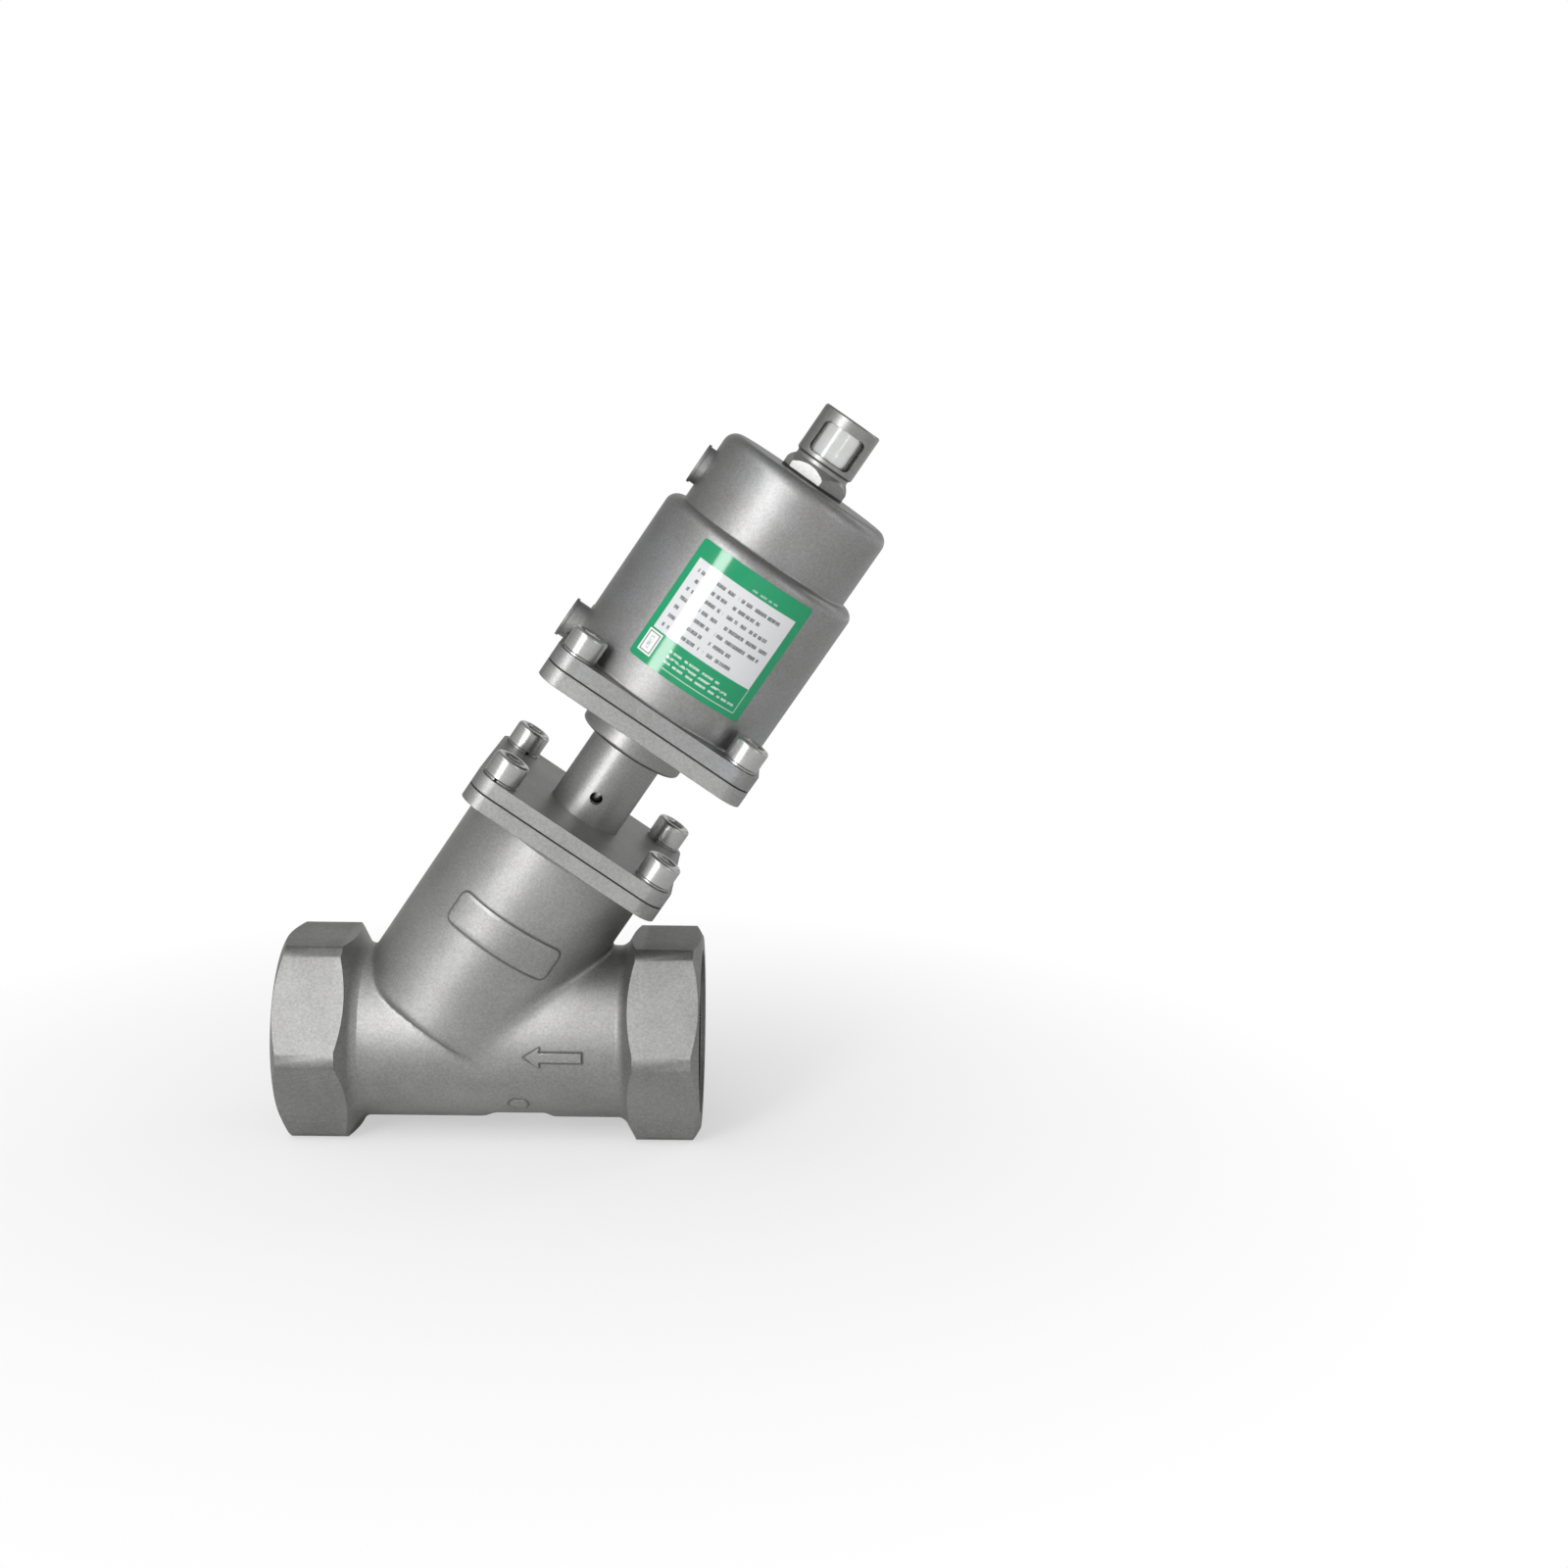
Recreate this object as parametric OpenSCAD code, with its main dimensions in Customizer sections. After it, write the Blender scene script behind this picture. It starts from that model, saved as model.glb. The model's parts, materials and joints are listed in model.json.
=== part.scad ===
// Pneumatic angle seat valve: a Y-shaped body with threaded ends, a bonnet with a packed stem,
// and a spring-return piston actuator with a sight-glass position indicator.
// Origin: middle of the outlet port's face. X runs along the pipe towards the inlet, Z is up.
// Everything above the pipe is turned about the stem axis, and is placed by its height on that axis.

/* [Pipe ends and barrel] */
// Face to face length of the body
face_to_face = 150; // [142:1:166]
// Size across the flats of the hexagonal ends
hex_af = 71; // [69:0.5:75]
// How much each corner of a hexagonal end is trimmed, along its radius
hex_corner_trim = 1.7; // [0.5:0.1:3]
// Length of a hexagonal end along its corners
hex_len = 23; // [22:0.5:26]
// Radial distance from the flats of an end to the chamfer's start on its face
hex_face_inset = 0.5; // [0.2:0.1:2]
// Angle of the chamfers of an end, against its face
hex_chamfer_angle = 30; // [20:1:35]
// Wall of the barrel between the ends
barrel_wall = 5.2; // [4:0.1:6]
// Radius of the casting fillet between an end and the barrel
hex_fillet_r = 5; // [2:0.5:6]
// Bore of a threaded port, the minor diameter of its pipe thread
port_d = 56.66; // [55:0.02:60]
// Depth of a threaded port
port_depth = 21; // [14:0.5:24]
// Width of the shoulder at a port's bottom, where the narrower flow passage starts
port_shoulder_w = 2.33; // [1:0.01:4]
// Depth of the shallow flat under the barrel, where the casting gate was ground off
gate_flat_depth = 1.3; // [0.5:0.1:2]
// Angle by which that flat is turned from straight below towards the front
gate_turn = 20; // [0:1:40]
// Length of that flat
gate_flat_len = 20; // [10:1:30]
// Distance of the flat's middle from the body's middle, towards the inlet
gate_flat_offset = 9; // [4:0.5:14]

/* [Stem axis] */
// Angle between the stem axis and the pipe axis
stem_angle = 56; // [54:0.5:58]
// Distance from the body's middle to the crossing of the two axes, towards the outlet
stem_offset = 22.4; // [21:0.2:24]
// Stroke of the stem from closed to fully open
stroke = 20; // [16:0.5:21]

/* [Neck and seat] */
// Wall of the neck
neck_wall = 4.5; // [3:0.1:6]
// Radial room between the valve disc and the inside of the neck
disc_room = 3; // [2:0.1:4]
// Height of the neck's lower edge on the stem axis
neck_base_h = 8; // [6:0.5:9]
// Rounding of the neck's lower edge
neck_edge_r = 2.5; // [1:0.1:3]
// Casting fillet between the neck and its flange
neck_fillet_r = 3; // [1:0.1:4]
// Height of the seat wall's upper face on the stem axis
seat_h = 11.5; // [11:0.5:14]
// Thickness of the seat wall
seat_wall = 6; // [4:0.5:8]
// Diameter of the hole through the seat
seat_bore_d = 45; // [43:0.5:47]
// Width of the raised seat lip
seat_lip_w = 2; // [1:0.1:2.4]
// Height of the raised seat lip
seat_lip_h = 1.5; // [0.8:0.1:2.5]

/* [Bonnet joint] */
// How far the square bonnet flanges stand out beyond the neck's diameter on each side
bonnet_margin = 4.5; // [4:0.1:7]
// Corner radius of the bonnet flanges
bonnet_corner_r = 8; // [4:0.5:12]
// Height of the body flange's upper face on the stem axis
bonnet_joint_h = 92.3; // [90:0.1:98]
// Thickness of the body's flange
body_flange_t = 5.3; // [4.5:0.1:8]
// Thickness of the bonnet gasket
bonnet_gasket_t = 0.6; // [0.4:0.1:1.5]
// How far a gasket is held back from the edges of its flanges
gasket_inset = 0.3; // [0.1:0.1:1]
// Thickness of the bonnet plate
bonnet_t = 5.5; // [4.5:0.1:8]
// Distance from a bonnet flange's sides to the middle of its screws
bonnet_screw_inset = 8.15; // [7.5:0.05:8.5]

/* [Screws] */
// Thread diameter of the flange screws
screw_d = 8; // [6:0.5:8]
// Length of the flange screws under the head
screw_len = 12; // [11:0.1:12]
// Diameter of a screw head
head_d = 13; // [11:0.1:13.2]
// Height of a screw head
head_h = 8; // [5:0.1:10]
// Width of the chamfer round a screw head
head_chamfer = 0.6; // [0.2:0.1:1]
// Size across the flats of the hexagon socket
socket_af = 6; // [4:0.5:7]
// Depth of the hexagon socket
socket_depth = 4; // [2:0.5:4.5]
// How far a lock washer stands out beyond the screw head, along its radius
washer_lip_w = 0.1; // [0.05:0.05:0.3]
// Thickness of a lock washer
washer_t = 0.8; // [0.5:0.1:2]
// Radial play of a screw in a plain hole
screw_play = 0.45; // [0.2:0.05:0.8]

/* [Yoke tube and packing] */
// Outer diameter of the yoke tube
tube_d = 27.4; // [26:0.2:30]
// Clear distance between the bonnet plate and the actuator base
yoke_gap = 39; // [34:0.5:48]
// Wall of the yoke tube round its packing chamber
tube_wall = 3.7; // [3:0.1:4.5]
// How far the tube reaches below the bonnet plate's lower face
spigot_len = 24; // [22.5:0.5:30]
// Radial step from the tube to its thicker part below the bonnet plate
spigot_step = 1.3; // [0.5:0.1:3]
// Width of the tube's shoulder that bears on the bonnet plate from below
shoulder_w = 4; // [3:0.1:6]
// Thickness of that shoulder
shoulder_t = 3.2; // [2:0.1:5]
// Thickness of the tube's floor, which guides the stem
tube_floor_t = 4; // [3:0.5:5]
// Diameter of the weep hole in the yoke tube
weep_hole_d = 4.6; // [3:0.1:5]
// Height of the weep hole above the bonnet plate
weep_hole_h = 9.4; // [9:0.1:14]
// Number of chevron packing rings
packing_count = 4; // [2:1:4]
// Thickness of one packing ring along the stem
packing_t = 3; // [2:0.1:3]
// How far a packing ring's section is bent, as a chevron
chevron_rise = 1.6; // [0.5:0.1:2]
// Thickness of the packing's lower and upper support rings at their rims
support_ring_t = 2.5; // [2:0.1:2.8]
// Number of disc springs that load the packing
disc_spring_count = 4; // [2:1:4]
// Sheet thickness of a disc spring
disc_spring_t = 0.9; // [0.5:0.1:0.9]
// Rise of a disc spring's cone
disc_spring_rise = 0.6; // [0.3:0.1:0.6]
// Length of the screwed gland above the packing
gland_len = 5; // [4:0.5:5.5]
// Width of the screwdriver slot across the gland
gland_slot_w = 3; // [2:0.1:4]
// Depth of that slot
gland_slot_depth = 1.5; // [1:0.1:2.5]

/* [Swivel collar] */
// Wall of the collar under the actuator base
collar_wall = 3.45; // [2.5:0.05:5]
// Height of the collar
collar_h = 10; // [9.5:0.5:12]
// Rounding of the collar's lower edge
collar_edge_r = 1.5; // [0.5:0.1:2.5]
// Width of the tube's upper flange, which the collar holds
swivel_flange_w = 2.8; // [2:0.1:3.5]
// Thickness of that flange
swivel_flange_t = 3.4; // [2.5:0.1:4]
// Thickness of the collar's lip under that flange
collar_lip_t = 3; // [2:0.1:3.5]

/* [Actuator base] */
// Distance from the sides of the actuator flanges to the middle of their screws
actuator_screw_inset = 8; // [7.4:0.1:10]
// Corner radius of the actuator flanges
actuator_corner_r = 8; // [4:0.5:10]
// Thickness of the actuator's base plate
base_t = 6; // [5:0.1:9]
// Thickness of the gasket between base and housing
base_gasket_t = 0.6; // [0.4:0.1:1.5]
// Gap between an actuator washer and the fillet round the housing's foot
actuator_washer_gap = 0.47; // [0.2:0.01:2]
// Diameter of the hub on top of the base plate
base_hub_d = 28; // [25:0.5:32]
// Height of that hub above the base plate
base_hub_h = 8; // [7:0.5:10]
// Height by which the base plate's register reaches into the housing
register_h = 1.5; // [0.8:0.1:2.5]
// Wall of the stem's guide bush
bush_wall = 2; // [1:0.1:2.5]
// Width of the stem seal's section
stem_seal_w = 4; // [3:0.1:5]
// Height of the stem seal
stem_seal_h = 4; // [3:0.1:5]
// Thickness of the ring that holds the stem seal
seal_ring_t = 1.2; // [0.8:0.1:2]

/* [Actuator housing] */
// Thickness of the housing's flange
housing_flange_t = 5.7; // [5:0.1:7]
// Wall of the housing's lower, wide part
housing_wall = 3.1; // [2.5:0.1:4]
// Width of the ledge between the wide and the narrow part
ledge_w = 5.1; // [5:0.1:6]
// Bore in which the piston runs
cylinder_d = 71; // [64:0.5:78]
// Wall of the housing's upper part
dome_wall = 3.3; // [2.5:0.1:4]
// Thickness of the housing's top
dome_top_t = 4; // [3:0.1:5]
// Height of the ledge between the two parts above the housing's lower face
ledge_h = 67.8; // [66:0.1:72]
// Height of the housing's narrow part above the ledge
dome_h = 29; // [26.5:0.1:36]
// Rounding of the wide part's upper edge
ledge_round_r = 4; // [2:0.1:4]
// Fillet where the ledge meets the narrow part
ledge_fillet_r = 1; // [0.5:0.1:1]
// Rounding of the housing's top edge
dome_round_r = 4.8; // [2:0.1:6]
// Fillet between the housing and its flange
housing_fillet_r = 1; // [0.5:0.1:1.2]

/* [Air ports] */
// Outer diameter of an air port's boss
boss_d = 14.2; // [13:0.1:15]
// How far the rim at a boss's mouth stands out, along its radius
boss_rim_w = 0.5; // [0.2:0.1:0.9]
// Length of that rim along the boss
boss_rim_t = 1; // [0.6:0.1:1.5]
// Bore of an air port, the minor diameter of its pipe thread
air_port_d = 8.57; // [8:0.01:10]
// How far the lower boss stands out of the wall
lower_boss_len = 6; // [4:0.1:9]
// How far the upper boss stands out of the wall
upper_boss_len = 3; // [2:0.1:8]
// Height of the lower air port above the housing's lower face
lower_port_h = 9.7; // [9:0.1:9.9]
// Depth of the upper air port below the housing's top
upper_port_depth = 16.5; // [14:0.1:17]

/* [Label] */
// Width of the label, measured straight across
label_w = 44; // [30:0.1:56]
// Height of the label
label_h = 46.5; // [20:0.1:52]
// Corner radius of the label
label_corner_r = 1.2; // [0.5:0.1:5]
// Thickness of the label
label_t = 0.2; // [0.1:0.05:0.4]
// Distance from the label's upper edge to the start of the rounded edge above it
label_drop = 0.5; // [0.1:0.1:5]
// Angle by which the label's middle is turned from the front
label_turn = 3.5; // [-20:0.5:20]

/* [Position indicator] */
// How far the flats of the indicator's hexagon stand out beyond its round housing
indicator_hex_w = 0.05; // [0.05:0.05:1]
// Height of that hexagon
indicator_hex_h = 5.3; // [4:0.1:6]
// Angle by which the hexagon is turned about the stem axis
indicator_hex_turn = 40; // [0:1:59]
// Height that the chamfer takes off the hexagon's corners
indicator_corner_drop = 3.1; // [2:0.1:3.4]
// Diameter of the indicator's round housing
indicator_d = 22.4; // [21:0.1:22.4]
// Height of the indicator's housing above its washer
indicator_h = 25; // [24.5:0.5:30]
// Thickness of the indicator's roof
indicator_roof_t = 3; // [2:0.1:3.4]
// Height of the waist between hexagon and round housing
waist_h = 2; // [1.2:0.1:2.4]
// Depth of that waist
waist_depth = 0.8; // [0.4:0.1:1]
// How far the black washer under the hexagon stands out beyond the round housing
indicator_washer_w = 1.1; // [0.5:0.1:2.5]
// Thickness of that washer
indicator_washer_t = 1; // [0.6:0.1:2]
// Distance from the waist's top up to the window
window_rise = 1.3; // [0.5:0.1:4]
// How far each side of the window stays inside the sight tube's outer side
window_side = 0.3; // [0.2:0.1:3]
// Corner radius of the window
window_r = 2; // [1:0.1:3]
// Depth of the window's upper edge below the housing's top
window_drop = 4.4; // [3.6:0.1:4.8]
// Wall of the indicator's housing round the clear sight tube
indicator_wall = 2.7; // [2:0.1:3.2]
// Wall of the sight tube
glass_wall = 1.3; // [0.8:0.1:1.5]
// Diameter of the indicator's threaded spigot in the housing's top
indicator_spigot_d = 18; // [16:0.5:20]
// Radial gap between the coloured indicator cap and the sight tube
cap_gap = 1; // [0.8:0.1:2]
// Length of the indicator cap
cap_len = 12; // [8:0.5:14]
// Diameter of the indicator's rod
indicator_rod_d = 8; // [5:0.5:8.5]
// Wall of the socket that holds the rod on the stem
indicator_socket_wall = 1.6; // [1:0.1:2.5]
// Length of the stem's end in that socket
indicator_grip = 8; // [5:0.5:12]

/* [Stem and disc] */
// Diameter of the stem
stem_d = 12; // [11:0.5:13]
// Diameter of the stem's threaded ends
stem_end_d = 10; // [8:0.5:10]
// Width of the valve disc's rim round its seal
disc_rim_w = 1.5; // [1:0.1:2.5]
// Thickness of the valve disc above its seal
disc_t = 8; // [7:0.5:10]
// How far the seat seal reaches beyond the seat's hole, along its radius
seal_lap = 3.5; // [3:0.1:4.5]
// Thickness of the seat seal
seal_t = 4; // [3:0.5:6]
// How far the disc's rim covers the side of the seal
disc_skirt = 2.5; // [1:0.1:2.8]
// Radial gap between the retainer under the seal and the seat's hole
retainer_gap = 2; // [1:0.1:4]
// Thickness of the retainer
retainer_t = 3.5; // [2:0.5:5]
// Depth of the stem's shoulder in the disc
disc_socket = 4; // [2:0.5:5]
// Size across the flats of the nuts on the stem
nut_af = 17; // [15:0.5:19]
// Height of the nuts on the stem
nut_h = 8; // [6:0.5:10]
// Width of the chamfer round a nut's outer face
nut_chamfer = 1; // [0.4:0.1:1.5]
// Length of the stem's thread that stands out of the lower nut
thread_end = 1.2; // [0.5:0.1:3]

/* [Piston and spring] */
// Height of the air space under the closed piston
piston_space = 16.2; // [14.5:0.1:17]
// Height of the piston's rim
piston_h = 14; // [12.5:0.5:15]
// Thickness of the piston's web
piston_web_t = 6; // [5:0.5:7]
// Depth of the spring's seat in the piston's top
spring_recess = 4; // [2:0.5:5]
// Wall of the piston's rim
piston_rim_w = 6; // [5:0.1:6]
// Diameter of the piston's hub
piston_hub_d = 26; // [22:0.5:28]
// Radial gap between the piston's metal and its bore
piston_gap = 0.3; // [0.2:0.05:0.5]
// Height of the piston seal
piston_seal_h = 4.5; // [3:0.1:5]
// Depth of the seal's groove
piston_seal_w = 3.6; // [2:0.1:4]
// Height of the piston's guide ring
guide_ring_h = 3; // [2:0.1:3.5]
// Depth of the guide ring's groove
guide_ring_w = 1.8; // [1:0.1:2.5]
// Height of piston metal outside each groove
groove_land = 2; // [1:0.1:2]
// Distance from the piston's bore to the middle of the closing spring's wire
spring_inset = 10; // [9.2:0.1:11]
// Wire diameter of the closing spring
wire_d = 4.8; // [3:0.1:5]
// Turns of the closing spring, its closed ends included
spring_turns = 6.5; // [4.5:0.5:7]

/* [Hidden] */
// Radial clearance of a sliding or turning fit
running_fit = 0.05;
// Gap between pieces that are screwed or pressed together on a round face
joint_fit = 0.03;
// Axial play of the swivel, of loose rings and between stacked rings
axial_play = 0.1;
// Gap between seal and seat at rest, taken up by the seal's squeeze
seat_gap = 0.1;
// Gap between the spring's ends and their seats
spring_gap = 0.1;
// Radial play of the indicator cap in its bore
cap_play = 0.15;
// Distance between the raised indicator cap and the roof
cap_end_gap = 0.4;
// Overlap that lets a cut or a joined shape run past a face
cut = 1;
// Side of the large blocks that stand for half spaces
far = 400;
// Sides of a hexagon, and the half angle of one side
hex_sides = 6;
hex_half_angle = 180 / hex_sides;

// Pipe ends: radii and places of the chamfers and fillets
mid_x = face_to_face / 2;
axis_x = mid_x - stem_offset;
passage_r = port_d / 2 - port_shoulder_w;
barrel_r = passage_r + barrel_wall;
flat_r = hex_af / 2;
trim_r = flat_r / cos(hex_half_angle) - hex_corner_trim;
hex_face_r = flat_r - hex_face_inset;
hex_tip_r = sqrt(pow(flat_r, 2) + pow(trim_r, 2) - 2 * flat_r * trim_r * cos(hex_half_angle))
    / sin(hex_half_angle);
hex_reach_r = hex_tip_r + cut;
chamfer_slope = tan(hex_chamfer_angle);
root_fillet_r = barrel_r + hex_fillet_r;
hex_root_x = (hex_len * cos(hex_chamfer_angle) + hex_tip_r * sin(hex_chamfer_angle) + hex_fillet_r
    - root_fillet_r * sin(hex_chamfer_angle)) / cos(hex_chamfer_angle);
root_tangent_x = hex_root_x - hex_fillet_r * cos(hex_chamfer_angle);
root_tangent_r = root_fillet_r - hex_fillet_r * sin(hex_chamfer_angle);
gate_slope = 2;

// Heights on the stem axis, from the seat up to the indicator
seat_bore_r = seat_bore_d / 2;
seal_r = seat_bore_r + seal_lap;
disc_r = seal_r + disc_rim_w;
retainer_r = seat_bore_r - retainer_gap;
cavity_r = disc_r + disc_room;
neck_r = cavity_r + neck_wall;
bonnet_w = 2 * (neck_r + bonnet_margin);
bonnet_screw_pitch = bonnet_w - 2 * bonnet_screw_inset;
body_flange_h = bonnet_joint_h - body_flange_t;
bonnet_h = bonnet_joint_h + bonnet_gasket_t;
bonnet_top_h = bonnet_h + bonnet_t;
base_h = bonnet_top_h + yoke_gap;
base_top_h = base_h + base_t;
housing_seat_h = base_top_h + base_gasket_t;
housing_h = ledge_h + dome_h;
housing_top_h = housing_seat_h + housing_h;
indicator_base_h = housing_top_h + indicator_washer_t;
indicator_top_h = indicator_base_h + indicator_h;

// Yoke tube, packing and swivel
tube_r = tube_d / 2;
packing_r = tube_r - tube_wall;
spigot_r = tube_r + spigot_step;
shoulder_r = spigot_r + shoulder_w;
stem_r = stem_d / 2;
stem_end_r = stem_end_d / 2;
tube_bottom_h = bonnet_h - spigot_len;
packing_floor_h = tube_bottom_h + tube_floor_t;
packing_mid_r = (packing_r + stem_r) / 2;
packing_pitch = packing_t + axial_play / 2;
packing_h = packing_floor_h + support_ring_t + axial_play / 2;
upper_ring_h = packing_h + packing_count * packing_pitch;
disc_stack_h = upper_ring_h + support_ring_t + chevron_rise + axial_play;
disc_spring_pitch = disc_spring_t + disc_spring_rise + axial_play / 4;
disc_spring_play = 0.5;
gland_h = disc_stack_h + disc_spring_count * disc_spring_pitch + axial_play / 2;
swivel_flange_r = tube_r + swivel_flange_w;
swivel_recess_r = swivel_flange_r + running_fit;
collar_r = swivel_recess_r + collar_wall;
collar_bottom_h = base_h - collar_h;
swivel_flange_h = collar_bottom_h + collar_lip_t + axial_play;
tube_top_h = swivel_flange_h + swivel_flange_t;
boss_bottom_h = tube_top_h + axial_play;

// Actuator base and housing
bush_r = stem_r + bush_wall;
stem_seal_r = stem_r + stem_seal_w;
hub_top_h = base_top_h + base_hub_h;
seal_ring_h = hub_top_h - seal_ring_t;
stem_seal_base_h = seal_ring_h - stem_seal_h;
cylinder_r = cylinder_d / 2;
housing_r = cylinder_r + housing_wall;
dome_r = housing_r - ledge_w;
washer_r = head_d / 2 + washer_lip_w;
actuator_screw_circle_r = housing_r + housing_fillet_r + washer_r + actuator_washer_gap;
actuator_screw_pitch = actuator_screw_circle_r * sqrt(2);
actuator_w = actuator_screw_pitch + 2 * actuator_screw_inset;
label_z = ledge_h - ledge_round_r - label_drop - label_h / 2;

// Stem, disc and piston, with the valve closed
seat_top_h = seat_h + seat_lip_h;
seal_h = seat_top_h + seat_gap;
disc_h = seal_h + seal_t;
disc_top_h = disc_h + disc_t;
retainer_h = seal_h - retainer_t;
lower_nut_h = retainer_h - nut_h;
stem_bottom_h = lower_nut_h - thread_end;
stem_shoulder_h = disc_top_h - disc_socket;
piston_bottom_h = base_top_h + piston_space;
piston_top_h = piston_bottom_h + piston_h;
web_top_h = piston_top_h - spring_recess;
web_h = web_top_h - piston_web_t;
upper_nut_top_h = web_top_h + nut_h;
stem_top_h = upper_nut_top_h + indicator_grip;
piston_r = cylinder_r - piston_gap;
piston_ring_r = cylinder_r - running_fit;
seal_groove_r = piston_r - piston_seal_w;
guide_groove_r = piston_r - guide_ring_w;
seal_groove_h = piston_bottom_h + groove_land;
guide_groove_h = piston_top_h - groove_land - guide_ring_h;

// Indicator
roof_h = indicator_top_h - indicator_roof_t;
indicator_r = indicator_d / 2;
indicator_af = indicator_d + 2 * indicator_hex_w;
glass_r = indicator_r - indicator_wall;
cap_r = glass_r - glass_wall - cap_gap;
indicator_bore_r = cap_r + cap_play;
glass_seat_h = indicator_base_h + indicator_hex_h / 2;
waist_top_h = indicator_base_h + indicator_hex_h + waist_h;
cap_top_h = roof_h - cap_end_gap - stroke;
cap_bottom_h = cap_top_h - cap_len;
window_low_h = waist_top_h + window_rise;
window_h = indicator_top_h - window_drop - window_low_h;
window_w = 2 * (glass_r - window_side);
indicator_rod_r = indicator_rod_d / 2;
socket_r = stem_end_r + indicator_socket_wall;

// Closing spring
spring_r = cylinder_r - spring_inset;
spring_low_h = web_top_h + spring_gap + wire_d / 2;
spring_high_h = housing_top_h - dome_top_t - spring_gap - wire_d / 2;
spring_rise = spring_high_h - spring_low_h;
closed_pitch = wire_d * 1.03;
wire_sides = 10;
wire_steps = 22;

// Finish colours
cast_steel = [0.62, 0.61, 0.59];
plate_steel = [0.70, 0.70, 0.69];
bright_steel = [0.80, 0.80, 0.81];
black_rubber = [0.08, 0.08, 0.08];
white_plastic = [0.93, 0.93, 0.90];
bronze = [0.72, 0.52, 0.28];
label_green = [0.09, 0.63, 0.42];
indicator_red = [0.85, 0.20, 0.12];
clear_tube = [0.85, 0.90, 0.92, 0.4];

$fn = 96;

// Placing helpers

module along_stem(h = 0) {
    translate([axis_x, 0, 0])
        rotate([0, 90 - stem_angle, 0])
            translate([0, 0, h])
                children();
}

module along_pipe(x = 0) {
    translate([x, 0, 0])
        rotate([0, 90, 0])
            children();
}

module at_four(pitch) {
    for (x = [-pitch / 2, pitch / 2], y = [-pitch / 2, pitch / 2])
        translate([x, y, 0])
            children();
}

// Flat outlines

module rounded_rect(w, h, r) {
    square([w, h - 2 * r], center = true);
    square([w - 2 * r, h], center = true);
    for (x = [-1, 1], y = [-1, 1])
        translate([x * (w / 2 - r), y * (h / 2 - r)])
            circle(r);
}

module hexagon(across_flats) {
    circle(r = across_flats / 2 / cos(hex_half_angle), $fn = hex_sides);
}

// Simple turned and plate shapes

module ring(r_out, r_in, h) {
    difference() {
        cylinder(r = r_out, h = h);
        translate([0, 0, -cut])
            cylinder(r = r_in, h = h + 2 * cut);
    }
}

module square_plate(w, corner_r, t, hole_r, pitch, screw_hole_r) {
    difference() {
        linear_extrude(t)
            rounded_rect(w, w, corner_r);
        translate([0, 0, -cut])
            cylinder(r = hole_r, h = t + 2 * cut);
        at_four(pitch)
            translate([0, 0, -cut])
                cylinder(r = screw_hole_r, h = t + 2 * cut);
    }
}

module socket_screw() {
    shank_r = screw_d / 2 - running_fit;
    head_r = head_d / 2;
    difference() {
        rotate_extrude()
            polygon([
                [0, -screw_len], [shank_r - head_chamfer, -screw_len],
                [shank_r, head_chamfer - screw_len], [shank_r, 0], [head_r, 0],
                [head_r, head_h - head_chamfer], [head_r - head_chamfer, head_h], [0, head_h]
            ]);
        translate([0, 0, head_h - socket_depth])
            linear_extrude(socket_depth + cut)
                hexagon(socket_af);
    }
}

module nut() {
    tip_r = nut_af / 2 / cos(hex_half_angle);
    chamfer_reach = nut_chamfer + cut;
    difference() {
        intersection() {
            linear_extrude(nut_h)
                hexagon(nut_af);
            rotate_extrude()
                polygon([
                    [0, 0], [tip_r + cut, 0],
                    [tip_r + cut, nut_h - chamfer_reach * tan(hex_half_angle)],
                    [tip_r - nut_chamfer, nut_h], [0, nut_h]
                ]);
        }
        translate([0, 0, -cut])
            cylinder(r = stem_end_r + joint_fit, h = nut_h + 2 * cut);
    }
}

// Valve body: two hexagonal ends, the barrel, the inclined neck with its flange, and the seat wall

module hex_end_profile() {
    difference() {
        polygon([
            [0, 0], [hex_face_r, 0],
            [hex_reach_r, (hex_reach_r - hex_face_r) * chamfer_slope],
            [hex_reach_r, hex_len - cut * chamfer_slope],
            [root_tangent_r, root_tangent_x], [barrel_r, hex_root_x], [0, hex_root_x]
        ]);
        translate([root_fillet_r, hex_root_x])
            circle(hex_fillet_r);
    }
}

module hex_end() {
    along_pipe()
        intersection() {
            rotate_extrude()
                hex_end_profile();
            linear_extrude(hex_root_x)
                rotate(hex_half_angle)
                    hexagon(hex_af);
            linear_extrude(hex_root_x)
                hexagon(2 * trim_r);
        }
}

module barrel() {
    difference() {
        along_pipe(hex_len)
            cylinder(r = barrel_r, h = face_to_face - 2 * hex_len);
        rotate([-gate_turn, 0, 0])
            translate([mid_x + gate_flat_offset, 0, -barrel_r])
                rotate([90, 0, 0])
                    linear_extrude(2 * barrel_r, center = true)
                        polygon([
                            [-gate_flat_len / 2 - gate_slope * (gate_flat_depth + cut), -cut],
                            [gate_flat_len / 2 + gate_slope * (gate_flat_depth + cut), -cut],
                            [gate_flat_len / 2, gate_flat_depth],
                            [-gate_flat_len / 2, gate_flat_depth]
                        ]);
    }
}

module neck_profile() {
    difference() {
        union() {
            polygon([
                [0, neck_base_h], [neck_r - neck_edge_r, neck_base_h],
                [neck_r, neck_base_h + neck_edge_r], [neck_r, body_flange_h - neck_fillet_r],
                [neck_r + neck_fillet_r, body_flange_h], [0, body_flange_h]
            ]);
            translate([neck_r - neck_edge_r, neck_base_h + neck_edge_r])
                circle(neck_edge_r);
        }
        translate([neck_r + neck_fillet_r, body_flange_h - neck_fillet_r])
            circle(neck_fillet_r);
    }
}

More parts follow.
